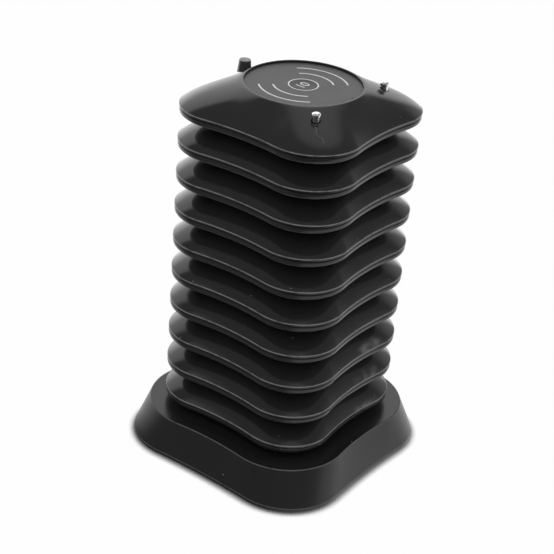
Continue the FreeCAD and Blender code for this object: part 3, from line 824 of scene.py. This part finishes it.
# %% [markdown]
# ## The upper shell
#
# The dome falls gently from the crown and steeply near the rim. With s going from 0 at the
# crown to 1 at the rim, its height is h (1 - a s - (1 - a) s^n). The tips fall more evenly
# than the hollow sides, so a and n change with direction. A coarse cage under a Subdivision
# Surface could bulge like this, but its crown would hardly stay round while its rim is lobed.
# The shell is a closed wall: after the dome and the lip, the profile goes back inside, under
# the disc and up the recess.

# %% Upper shell
DOME_ROWS = 44
SHELL_WALL = 2.0 * MM
WEB_THICKNESS = 1.2 * MM
SKIRT_INSIDE = 0.5 * MM
LIP_ROUNDING = 0.12 * MM
RECESS_ROUNDING = 0.22 * MM
RIM_ROUNDING = 0.16 * MM
RIM_SLOPE = math.radians(39)
CROWN_SOFTNESS = 0.025
ROW_CROWDING = 1.15
TIP_GENTLE, SIDE_MORE_GENTLE = 0.76, 0.11
TIP_POWER, SIDE_LESS_POWER = 5.0, 1.8


def dome_height(share, gentle, power):
    """Height over the rim line: h (1 - a s - (1 - a) s^n), with the start at the crown softened."""
    softened = np.sqrt(share ** 2 + CROWN_SOFTNESS ** 2) - CROWN_SOFTNESS
    softened = softened / (math.sqrt(1 + CROWN_SOFTNESS ** 2) - CROWN_SOFTNESS)
    return DOME_HEIGHT * (1 - gentle * softened - (1 - gentle) * softened ** power)


def dome_surface():
    """Rows from the crown to the rim, then the rim's rounding down to the lip."""
    gentle = TIP_GENTLE + SIDE_MORE_GENTLE * waistness
    power = TIP_POWER - SIDE_LESS_POWER * waistness
    edge = RIM_ROUNDING * (1 - math.sin(RIM_SLOPE))
    rows = np.linspace(0, 1, DOME_ROWS)[:, None] ** ROW_CROWDING
    share = rows * (1 - edge / (rim - CROWN_RADIUS))
    turn = np.linspace(np.pi / 2 - RIM_SLOPE, 0, ARC_STEPS)[1:, None]
    centre = RIM_ROUNDING * (math.tan(RIM_SLOPE) - 1 / math.cos(RIM_SLOPE))
    rounding = rim - RIM_ROUNDING * (1 - np.cos(turn))
    radius = np.concatenate([CROWN_RADIUS + share * (rim - CROWN_RADIUS), rounding])
    drop = np.broadcast_to(centre + RIM_ROUNDING * np.sin(turn), rounding.shape)
    return radius, np.concatenate([dome_height(share, gentle, power), drop])


def upper_shell_mesh():
    """The dome, the lip, the inner wall, the ceiling and the recess, as one closed wall."""
    dome_radius, dome_z = dome_surface()
    lip = rounded([(0, 0, 0), (0, -LIP_HEIGHT, LIP_ROUNDING), (SHELL_WALL, -LIP_HEIGHT, 0),
                   (SHELL_WALL, SKIRT_INSIDE, 0)])[1:]
    lip_radius, lip_z = lobed(lip, PAGER_OUTLINE)
    ceiling = RECESS_FLOOR - WEB_THICKNESS
    hole = BUTTON_RADIUS + GAP
    inside = rounded([
        (CROWN_RADIUS, ceiling, 0), (hole, ceiling, 0), (hole, RECESS_FLOOR, 0),
        (RECESS_RADIUS, RECESS_FLOOR, 0), (RECESS_RADIUS, DOME_HEIGHT, RECESS_ROUNDING),
        (CROWN_RADIUS, DOME_HEIGHT, 0)])[:-1]
    columns = np.ones_like(turns)
    radius = np.concatenate([dome_radius, lip_radius, inside[:, :1] * columns])
    height = np.concatenate([dome_z, lip_z * columns, inside[:, 1:] * columns])
    return surface("upper_shell", radius, height, turns, closed=True)


pin_bores = holes(PIN_RADIUS + GAP, PIN_CIRCLE, PIN_ANGLES, 0, PIN_TOP)
upper_mesh = drilled("upper_shell", upper_shell_mesh(), pin_bores)
print(f"upper shell: {len(upper_mesh.polygons)} faces")

# %% [markdown]
# ## The lower shell
#
# Under the lip runs a dark groove, then a band, and then the belly curves under to a flat
# underside. The curve is a quarter of a superellipse: with t from 0 to a quarter turn, it goes
# down as sin(t)^(2/k) and inwards as 1 - cos(t)^(2/k). A k below 2 makes it leaner than a
# circle. The shell is closed inside as well, because a Boolean needs a solid to drill.

# %% Lower shell
BELLY_INSET = 7.0 * MM
BAND_INSET = 0.1 * MM
BELLY_POWER = 2 / 1.6
BELLY_STEPS = 14
FLOOR_THICKNESS = 1.6 * MM
FLOOR_CORNER = 9.0 * MM
SPIGOT_FACE = 2.1 * MM
SPIGOT_WALL = 1.0 * MM
BAND_ROUNDING = 0.30 * MM
PIN_SOCKET_RADIUS = 2.4 * MM
PIN_SOCKET_DEPTH = 3.0 * MM
POST_SOCKET_RADIUS = 3.2 * MM
SHELL_SCREW_RADIUS = 2.05 * MM
SHELL_SCREW_CIRCLE = 46.2 * MM
SHALLOW_DEPTH = 1.2 * MM


def belly_curve(foot):
    """From the band's foot, down and inwards to the flat underside."""
    turn = np.linspace(0, np.pi / 2, BELLY_STEPS)
    down = np.sin(turn) ** BELLY_POWER
    across = 1 - np.cos(turn) ** BELLY_POWER
    return np.stack([BAND_INSET + (BELLY_INSET - BAND_INSET) * across,
                     foot - (BELLY_DEPTH + foot) * down], 1)


def lower_shell_mesh():
    """The band and belly outside, the spigot and floor inside, closed at two poles."""
    split = -LIP_HEIGHT - GROOVE_HEIGHT
    foot = split - BAND_HEIGHT
    floor = FLOOR_THICKNESS - BELLY_DEPTH
    inner = SPIGOT_FACE + SPIGOT_WALL
    wall = rounded([(FLOOR_CORNER + 3 * MM, floor, 0), (FLOOR_CORNER, floor, 0), (inner, foot, 0),
                    (inner, -GAP, 0), (SPIGOT_FACE, -GAP, 0), (SPIGOT_FACE, split, 0),
                    (BAND_INSET, split, BAND_ROUNDING), (BAND_INSET, foot, 0)])
    profile = np.concatenate([wall[:-1], belly_curve(foot)])
    return capped("lower_shell", *lobed(profile, PAGER_OUTLINE))


below = -BELLY_DEPTH - 1 * MM
deep, shallow = PIN_SOCKET_DEPTH - BELLY_DEPTH, SHALLOW_DEPTH - BELLY_DEPTH
underside_holes = [
    *holes(PIN_SOCKET_RADIUS, PIN_CIRCLE, PIN_ANGLES, below, deep),
    *holes(POST_SOCKET_RADIUS, POST_CIRCLE, [POST_ANGLE], below, shallow),
    *holes(SHELL_SCREW_RADIUS, SHELL_SCREW_CIRCLE, TIP_ANGLES, below, shallow)]
lower_mesh = drilled("lower_shell", lower_shell_mesh(), underside_holes)
print(f"lower shell: {len(lower_mesh.polygons)} faces")

# %% [markdown]
# ## Disc, button and number
#
# The disc is a thin ring with a pinhole near its edge. The button is a shallow dish whose depth
# falls with the square of the distance from its middle, and a plain number is printed in it.
# The number starts as flat text and is cut into small faces, whose points are then set just
# above the dish. A Shrinkwrap modifier would lay it there too, but the formula is at hand.

# %% Disc and button
DISH_DEPTH = 0.25 * MM
DISH_RIM = 0.25 * MM
BUTTON_TOP = DISC_TOP + 0.1 * MM
FLANGE_TOP = RECESS_FLOOR - WEB_THICKNESS - GAP
FLANGE_FOOT = FLANGE_TOP - 0.8 * MM
FLANGE_RADIUS = BUTTON_RADIUS + 1.0 * MM
STEM_RADIUS = 1.5 * MM
STEM_FOOT = 4.7 * MM
SOFT_EDGE = 0.1 * MM
CAP_ROUNDING = 0.2 * MM
DISC_STEPS = 256
CAP_STEPS = 128
DISH_ROWS = 16
NUMBER_SIZE = 7.0 * MM
INK_LIFT = 0.015 * MM


def disc_mesh():
    """A ring plate with softened edges, closed all round."""
    hole = BUTTON_RADIUS + GAP
    edge = RECESS_RADIUS - GAP
    corners = [(hole, RECESS_FLOOR, 0), (edge, RECESS_FLOOR, 0), (edge, DISC_TOP, SOFT_EDGE),
               (hole, DISC_TOP, 0.8 * SOFT_EDGE)]
    profile = rounded(corners, closed=True)
    plate = surface("disc", profile[:, :1], profile[:, 1:], around(DISC_STEPS), closed=True)
    pinhole = rod("pinhole", PINHOLE_RADIUS, RECESS_FLOOR - GAP, DISC_TOP + GAP, PINHOLE_PLACE, 24)
    return drilled("disc", plate, [pinhole])


def dish_height(distance):
    """Height of the button's face: a bowl, deepest in the middle, that ends at a flat rim."""
    share = np.minimum(distance / (BUTTON_RADIUS - DISH_RIM), 1)
    return BUTTON_TOP - DISH_DEPTH * (1 - share ** 2)


def button_mesh():
    """Stem, flange and cap in one profile, from the stem's foot to the middle of the dish."""
    body = rounded([(0, STEM_FOOT, 0), (STEM_RADIUS, STEM_FOOT, CAP_ROUNDING),
                    (STEM_RADIUS, FLANGE_FOOT, 0), (FLANGE_RADIUS, FLANGE_FOOT, SOFT_EDGE),
                    (FLANGE_RADIUS, FLANGE_TOP, SOFT_EDGE), (BUTTON_RADIUS, FLANGE_TOP, 0),
                    (BUTTON_RADIUS, BUTTON_TOP, CAP_ROUNDING),
                    (BUTTON_RADIUS - DISH_RIM, BUTTON_TOP, 0)])
    reach = np.linspace(BUTTON_RADIUS - DISH_RIM, 0, DISH_ROWS)[1:]
    dish = np.stack([reach, dish_height(reach)], 1)
    profile = np.concatenate([body, dish])
    return surface("button", profile[:, :1], profile[:, 1:], around(CAP_STEPS))


def number_mesh(number):
    """A printed number: flat text, cut small, laid on the dish a hair above it."""
    text = bpy.data.curves.new("number", "FONT")
    text.body = str(number)
    text.size = NUMBER_SIZE
    text.align_x = "CENTER"
    text.align_y = "CENTER"
    text.resolution_u = 4
    item = add("number", text)
    mesh = final_mesh(item)
    bpy.data.objects.remove(item)
    work = bmesh.new()
    work.from_mesh(mesh)
    bmesh.ops.remove_doubles(work, verts=work.verts, dist=MERGE_DISTANCE)
    bmesh.ops.triangulate(work, faces=work.faces)
    bmesh.ops.subdivide_edges(work, edges=work.edges, cuts=2)
    bmesh.ops.triangulate(work, faces=work.faces)
    work.to_mesh(mesh)
    work.free()
    points = np.zeros(len(mesh.vertices) * 3)
    mesh.vertices.foreach_get("co", points)
    points = points.reshape(-1, 3)
    points -= (points.min(0) + points.max(0)) / 2
    points[:, 2] = dish_height(np.hypot(points[:, 0], points[:, 1])) + INK_LIFT
    mesh.vertices.foreach_set("co", points.ravel())
    mesh.update()
    return mesh


disc_plate = disc_mesh()
button_cap = button_mesh()
print(f"disc: {len(disc_plate.polygons)} faces, button: {len(button_cap.polygons)} faces")

# %% [markdown]
# ## Pins and posts
#
# A pin is turned from rod: a thick head with a bevelled edge over a thinner neck. One turned
# profile gives neck, shoulder and head at once, where cylinders would have to be joined. The
# post is a plain tapered peg, moulded with the dome, whose top edge is well rounded.

# %% Pins and posts
NECK_RADIUS = 1.7 * MM
HEAD_HEIGHT = 2.0 * MM
HEAD_BEVEL = 0.8 * MM
BEVEL_FOOT = 0.5 * MM
BEVEL_ROUNDING = 0.6 * MM
SHOULDER_HEIGHT = 0.3 * MM
SHOULDER_ROUNDING = 0.12 * MM
NECK_ROUNDING = 0.15 * MM
ROUND_STEPS = 64
PIN_FOOT = 1.8 * MM
POST_FOOT = 5.2 * MM
POST_ROUNDING = 0.35 * MM


def pin_mesh(foot, top, turn):
    """Neck and head in one profile, closed at both ends on the axis."""
    head_foot = top - HEAD_HEIGHT
    corners = [(0, foot, 0), (NECK_RADIUS, foot, 0), (NECK_RADIUS, head_foot, NECK_ROUNDING),
               (PIN_RADIUS, head_foot + SHOULDER_HEIGHT, SHOULDER_ROUNDING),
               (PIN_RADIUS, top - BEVEL_FOOT, BEVEL_ROUNDING),
               (PIN_RADIUS - HEAD_BEVEL, top, HEAD_BEVEL), (0, top, 0)]
    return turned("pin", corners, ROUND_STEPS, on_circle(PIN_CIRCLE, turn))


def post_mesh(foot, top):
    """A peg that is wider towards its root."""
    root = POST_RADIUS + POST_FLARE * (top - foot)
    corners = [(0, foot, 0), (root, foot, 0), (POST_RADIUS, top, POST_ROUNDING), (0, top, 0)]
    return turned("post", corners, ROUND_STEPS, on_circle(POST_CIRCLE, POST_ANGLE))


pager_pins = joined("pins", [pin_mesh(PIN_FOOT, PIN_TOP, turn) for turn in PIN_ANGLES])
pager_post = post_mesh(POST_FOOT, POST_TOP)
print("pin top", round(PIN_TOP / MM, 2), "post top", round(POST_TOP / MM, 2))

# %% [markdown]
# ## Ten pagers
#
# Every pager is made from the same meshes, raised to its own rim line. An Array modifier would
# stack them in one line, but as one object that can't come apart. Each piece here rides on its
# pager's body, so that it lifts off with it, and the cap and its number ride on the button.

# %% Ten pagers
def dress(name, mesh, height, material, body, replaced=None):
    """A copy of the mesh, raised, painted and fastened to its body."""
    own = mesh.copy()
    own.name = name
    own.transform(Matrix.Translation((0, 0, height)))
    own.materials.clear()
    own.materials.append(material)
    piece = add(name, own)
    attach(piece, body)
    if replaced:
        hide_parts(replaced)


for level, height in enumerate(rims, 1):
    pager = f"pager_{level:02d}"
    button = f"button_{level:02d}"
    dress(f"{pager}_dome", upper_mesh, height, dome_black, pager,
          f"{pager}_upper_shell")
    dress(f"{pager}_post", pager_post, height, post_black, pager)
    dress(f"{pager}_belly", lower_mesh, height, belly_black, pager,
          f"{pager}_lower_shell")
    dress(f"{pager}_disc", disc_plate, height, disc_grey, pager,
          f"{pager}_face_disc")
    dress(f"{pager}_cap", button_cap, height, button_grey, button,
          f"{pager}_mute_button")
    dress(f"{pager}_number", number_mesh(level), height, number_ink, button)
dress("pager_10_pins", pager_pins, rims[-1], pin_metal, "pager_10",
      "pager_10_contact_pins")
print(f"dressed {len(rims)} pagers")

# %% [markdown]
# ## The base
#
# The skirt leans in from the foot outline to the deck outline. It is flat from one to the other,
# so straight rows between the two outlines are all that it takes. Its wall is closed like the
# pager's, with a raised round seat in the middle of the deck. A thin plate closes it below,
# and a fine step between the two catches the light.

# %% Base housing
BASE_WALL = 2.4 * MM
DECK_THICKNESS = 2.2 * MM
DECK_ROUNDING = 0.45 * MM
DECK_ROUNDING_SPAN = 1.2 * MM
FOOT_ROUNDING = 0.2 * MM
FOOT_ROUNDING_SPAN = 0.8 * MM
SEAT_ROUNDING = 0.3 * MM
SKIRT_ROWS = 12
POST_ROOT_DEPTH = 2.0 * MM
BORE_DEPTH = 4.0 * MM
JACK_HOLE_RADIUS = 4.25 * MM
JACK_HOLE_SPAN = (45.0 * MM, 62.0 * MM)


def skirt_rows(share, inset):
    """Distances for heights from the plate (share 0) to the deck (share 1)."""
    low = outline(turns, SKIRT_OUTLINE, inset)
    high = outline(turns, DECK_OUTLINE, inset)
    return low + share * (high - low)


def base_mesh():
    """Skirt, deck and seat outside, ceiling and wall inside, closed at two poles."""
    tall = deck_top - plate_top
    lean = (skirt_rows(0, 0) - skirt_rows(1, 0)) / tall
    corner = rounded([(0, DECK_ROUNDING_SPAN, 0), (0, 0, DECK_ROUNDING), (DECK_ROUNDING_SPAN, 0, 0)])
    foot = rounded([(FOOT_ROUNDING_SPAN, 0, 0), (0, 0, FOOT_ROUNDING), (0, FOOT_ROUNDING_SPAN, 0)])
    foot_share = foot[:, 1:] / tall
    foot_radius = skirt_rows(foot_share, 0) - foot[:, :1]
    share = np.linspace(FOOT_ROUNDING_SPAN / tall, 1 - DECK_ROUNDING_SPAN / tall, SKIRT_ROWS)
    share = share[1:-1, None]
    edge_radius = skirt_rows(1, 0) + lean * corner[:, 1:] - corner[:, :1]
    seat = rounded([(CROWN_RADIUS + 3 * MM, deck_top, 0), (CROWN_RADIUS, deck_top, SEAT_ROUNDING),
                    (CROWN_RADIUS, seat_top, SEAT_ROUNDING), (0, seat_top, 0)])[:-1]
    inside = [[deck_top - DECK_THICKNESS], [plate_top]]
    radius = np.concatenate([skirt_rows(1, BASE_WALL)[None], skirt_rows(0, BASE_WALL)[None],
                             foot_radius, skirt_rows(share, 0), edge_radius,
                             seat[:, :1] * np.ones_like(turns)])
    height = np.concatenate([inside, plate_top + foot[:, 1:], plate_top + share * tall,
                             deck_top - corner[:, 1:], seat[:, 1:]])
    return capped("base", radius, height)


def jack_cutter():
    """A cylinder along +Y through the skirt, at the height of the socket."""
    low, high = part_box("power_jack")
    hole = rod("jack_hole", JACK_HOLE_RADIUS, *JACK_HOLE_SPAN, count=ROUND_STEPS)
    middle = Matrix.Translation((0, 0, (low.z + high.z) / 2))
    hole.transform(middle @ Matrix.Rotation(-math.pi / 2, 4, "X"))
    return hole


deck_bores = holes(PIN_RADIUS + GAP, PIN_CIRCLE, PIN_ANGLES, deck_top - BORE_DEPTH, deck_top + 1 * MM)
housing = drilled("base", base_mesh(), deck_bores + [jack_cutter()])
dress("base_housing", housing, 0, base_black, "base", "base_shell")
dress("base_post", post_mesh(deck_top - POST_ROOT_DEPTH, seat_top + POST_PROUD), 0, post_black, "base")
print(f"base: {len(housing.polygons)} faces, deck at {deck_top / MM:.1f} mm")

# %% [markdown]
# ## Base plate, feet and pins
#
# The plate closes the housing from below. Four rubber feet sit in shallow recesses of it, on the
# diagonals, and four screws hold it. The recesses are cut by the same Boolean as the pins'
# holes, because a plain disc laid on the plate would show no seat. The base has the same two
# pins as every pager, so they come from the same function.

# %% Base plate, feet and pins
FOOT_RADIUS = 6.0 * MM
FOOT_CIRCLE = 58.0 * MM
FOOT_SINK = 0.5 * MM
COUNTERBORE_RADIUS = 2.8 * MM
COUNTERBORE_DEPTH = 1.0 * MM
PLATE_INSIDE = 2.0 * MM
PLATE_FOOT_ROUNDING = 0.3 * MM
PLATE_TOP_ROUNDING = 0.22 * MM
PAD_ROUNDING = 0.25 * MM
BASE_PIN_FOOT = 7.0 * MM


def plate_mesh():
    """A flat lobed plate with softened edges, closed at two poles."""
    rim_profile = rounded([(PLATE_INSIDE, foot_z, 0), (0, foot_z, PLATE_FOOT_ROUNDING),
                           (0, plate_top, PLATE_TOP_ROUNDING), (PLATE_INSIDE, plate_top, 0)])
    return capped("plate", *lobed(rim_profile, SKIRT_OUTLINE))


foot_top = foot_z + FOOT_SINK
screw_seat = foot_z + COUNTERBORE_DEPTH
plate_holes = [
    *holes(FOOT_RADIUS + GAP, FOOT_CIRCLE, TIP_ANGLES, -1 * MM, foot_top),
    *holes(COUNTERBORE_RADIUS, BASE_SCREW_CIRCLE, BASE_SCREW_ANGLES, -1 * MM, screw_seat)]
plate = drilled("plate", plate_mesh(), plate_holes)
dress("base_underplate", plate, 0, base_black, "base", "base_plate")

foot_corners = [(0, 0, 0), (FOOT_RADIUS, 0, PAD_ROUNDING), (FOOT_RADIUS, foot_top, 0), (0, foot_top, 0)]
feet = [turned("foot", foot_corners, ROUND_STEPS, on_circle(FOOT_CIRCLE, turn)) for turn in TIP_ANGLES]
dress("base_pads", joined("feet", feet), 0, foot_rubber, "base", "base_feet")

base_pins = [pin_mesh(BASE_PIN_FOOT, seat_top + PIN_PROUD, turn) for turn in PIN_ANGLES]
dress("base_contacts", joined("base_pins", base_pins), 0, pin_metal, "base", "base_pins")
print(f"plate: {len(plate.polygons)} faces, feet and pins in place")

# %% [markdown]
# ## Pieces that stay as the CAD has them
#
# The screws, the boards, the cell, the socket and the inner works already have the right
# shape, and hardly any of them shows. They only need their finishes. The works of a pager are
# several materials in one node, so their paint chooses by place: green at the board's height,
# metal above and below it, and dark screws farther out than the board reaches.

# %% CAD pieces
BOARD_LEVELS = (0.55 * MM, 1.85 * MM)
BOARD_REACH = 43.5 * MM


def repaint(node, material):
    """Give a CAD node one material in place of its own."""
    slots = nodes[node].data.materials
    slots.clear()
    slots.append(material)


def works_paint(name, rim_height):
    """Green lacquer at the board's height, plated metal above and below, dark screws farther out."""
    paint = Paint(name, IOR=1.5)
    x, y, z = paint.axes()
    distance = span(x, y)
    height = z - rim_height
    low, high = BOARD_LEVELS
    board = ((height > low) * (height < high)) * (distance < BOARD_REACH)
    metal = 1 - board
    screw = distance > BOARD_REACH
    green = paint.mix(tracks(paint), LACQUER_DARK, LACQUER_PALE)
    spots = dull_spots(paint)
    plating = paint.mix(screw, paint.mix(spots, grey(0.8), grey(0.55)), grey(0.02))
    paint.feed(Base_Color=paint.mix(metal, green, plating), Metallic=metal,
               Roughness=0.14 + 0.16 * spots + 0.12 * board + 0.3 * screw)
    return paint.material


repaint("pager_10_circuit_board", board_paint)
repaint("base_board", board_paint)
repaint("pager_10_battery", foil_metal)
repaint("pager_10_shell_screws", black_screw)
repaint("base_screws", screw_metal)
repaint("power_jack", socket_black)
for level, height in enumerate(rims[:-1], 1):
    repaint(f"pager_{level:02d}_works", works_paint(f"works_{level:02d}", height))
print("repainted the CAD pieces that stay")

# %% [markdown]
# ## The floor
#
# A pale floor runs far past the view. The white table of a product studio looks plain white
# because it is lit harder than the product, and such light would spill on the stack. Here the
# floor's material does that alone: to the camera it is white, except close to the base, where
# ambient occlusion finds the base near by and the floor's own shaded colour shows. In
# reflections it is a table: pale at the sides, brighter towards the white sweep behind, in shade
# in a wedge in front, and it ends there, where the dark room begins.

# %% Floor
FLOOR_HALF = 6.0
FLOOR_GLOW = 0.985
CONTACT_REACH = 5.5 * MM
CONTACT_FADE = (0.66, 0.86)
TABLE_LEVEL = 0.85
TABLE_DARK = 0.22
TABLE_FRONT = 172.0
TABLE_FRONT_SPREAD = (0.55, 0.85)
TABLE_BRIGHT = 1.9
TABLE_BACK = 50.0
TABLE_BACK_EDGE = (0.10, 0.65)
ROOM_FRONT = 215.0
ROOM_EDGE = (0.22, 0.32)
ROOM_DARK = 0.05


def floor_paint():
    """White to the camera apart from the contact shadow; a table that ends in front, reflected."""
    paint = Paint("pale_floor", Base_Color=grey(0.32), Roughness=0.9, Specular_IOR_Level=0.0)
    camera_ray, mirrored = paint.rays()
    open_sky = paint.node("ShaderNodeAmbientOcclusion", {"samples": 8},
                          {"Distance": CONTACT_REACH}, "AO")
    x, y, _ = paint.axes()
    ahead, behind, outside = [x * math.cos(turn) + y * math.sin(turn) for turn in
                              map(math.radians, (TABLE_FRONT, TABLE_BACK, ROOM_FRONT))]
    facing = ahead / span(x, y)
    glow, lit, bright, dim, dark = [
        paint.node("ShaderNodeEmission", {}, {"Color": grey(1.0), "Strength": level})
        for level in (1.0, TABLE_LEVEL, TABLE_BRIGHT, TABLE_DARK, ROOM_DARK)]
    seen_table = lit
    for share, other in ((behind.fade(*TABLE_BACK_EDGE), bright),
                         (facing.fade(*TABLE_FRONT_SPREAD), dim), (outside.fade(*ROOM_EDGE), dark)):
        seen_table = paint.node("ShaderNodeMixShader", {}, {0: share, 1: seen_table, 2: other})
    body = Value(paint, paint.shader.outputs[0])
    white = camera_ray * open_sky.fade(*CONTACT_FADE) * FLOOR_GLOW
    in_view = paint.node("ShaderNodeMixShader", {}, {0: white, 1: body, 2: glow})
    mixed = paint.node("ShaderNodeMixShader", {}, {0: mirrored, 1: in_view, 2: seen_table})
    output = paint.tree.nodes["Material Output"]
    paint.tree.links.new(mixed.socket, output.inputs["Surface"])
    return paint.material


floor_mesh = bpy.data.meshes.new("floor")
corners = [(x * FLOOR_HALF, y * FLOOR_HALF, 0) for x, y in ((-1, -1), (1, -1), (1, 1), (-1, 1))]
floor_mesh.from_pydata(corners, [], [(0, 1, 2, 3)])
floor_mesh.materials.append(floor_paint())
floor = add("floor", floor_mesh)
print("floor", 2 * FLOOR_HALF, "m across")

# %% [markdown]
# ## The studio
#
# Black gloss has hardly any colour of its own: what shows is the room. An image of a studio
# could stand round it, but patches of light can be moved one by one. So the world is plain
# white to the camera, an even grey as light, and a studio in reflections: a dim room with a
# white sweep behind, brightest at its foot, a card high over the stack, and smaller cards to
# the right, the left and the front. Each is a round patch of sky, given by its heading, its
# height, and the two angles from its middle between which it fades.

# %% World
LIGHT_LEVEL = 0.55
ROOM_LEVEL = 0.24
STUDIO = {
    "sweep": {"heading": 55, "height": 10, "reach": (38, 50), "level": 1.05},
    "sweep_foot": {"heading": 62, "height": 4, "reach": (6, 22), "level": 0.7},
    "overhead": {"heading": 18, "height": 65, "reach": (8, 24), "level": 0.46},
    "table_right": {"heading": 308, "height": 14, "reach": (8, 34), "level": 0.50},
    "back_right": {"heading": 352, "height": 6, "reach": (8, 30), "level": 0.38},
    "left_card": {"heading": 158, "height": 34, "reach": (6, 28), "level": 0.85},
    "front_card": {"heading": 240, "height": 56, "reach": (8, 25), "level": 0.60},
}


class Sky(Paint):
    """The same way of writing nodes, for the world."""

    def __init__(self, name):
        self.world = bpy.data.worlds.new(name)
        self.world.use_nodes = True
        self.tree = self.world.node_tree

    def patch(self, heading, height, reach, level):
        """A soft round patch: full inside the first angle from its middle, gone at the second."""
        turn, rise = math.radians(heading), math.radians(height)
        middle = (math.cos(rise) * math.cos(turn), math.cos(rise) * math.sin(turn), math.sin(rise))
        direction = self.node("ShaderNodeTexCoord", {}, {}, "Generated")
        nearness = self.node("ShaderNodeVectorMath", {"operation": "DOT_PRODUCT"},
                             {0: direction, 1: middle}, "Value")
        inner, outer = [math.cos(math.radians(angle)) for angle in reach]
        return nearness.fade(outer, inner) * level


def make_world():
    """White to the camera, the studio in reflections, even grey light for the rest."""
    sky = Sky("studio")
    camera_ray, mirrored = sky.rays()
    room = sum((sky.patch(**patch) for patch in STUDIO.values()), ROOM_LEVEL)
    plain = (1 - camera_ray - mirrored).clamp()
    strength = camera_ray + plain * LIGHT_LEVEL + (1 - camera_ray) * mirrored * room
    background = sky.tree.nodes["Background"]
    sky.join(strength, background.inputs["Strength"])
    sky.join(grey(1.0), background.inputs["Color"])
    bpy.context.scene.world = sky.world


make_world()
print("a studio of", len(STUDIO), "patches over a room of", ROOM_LEVEL)

# %% [markdown]
# ## Lamps
#
# Three large soft lamps give the matt pieces and the scuffed edges a direction. They are hidden
# from reflections, where they would show as hard squares: the cards of the studio are what the
# gloss shows.

# %% Lamps
LAMP_TARGET = (0, 0, 0.1)


def soft_lamp(name, place, size, power):
    """A square area lamp that faces the stack and doesn't show in reflections."""
    data = bpy.data.lights.new(name, "AREA")
    data.size = size
    data.energy = power
    lamp = add(name, data)
    lamp.location = place
    lamp.rotation_euler = (Vector(LAMP_TARGET) - Vector(place)).to_track_quat("-Z", "Y").to_euler()
    lamp.visible_glossy = False


soft_lamp("lamp_left", (-0.9, 0.5, 1.3), 0.9, 5)
soft_lamp("lamp_right", (0.7, -1.0, 1.1), 0.8, 5)
soft_lamp("lamp_front", (-0.9, -0.7, 1.0), 0.7, 6)
bpy.context.scene.view_settings.view_transform = "Standard"
print("three lamps")

# %% [markdown]
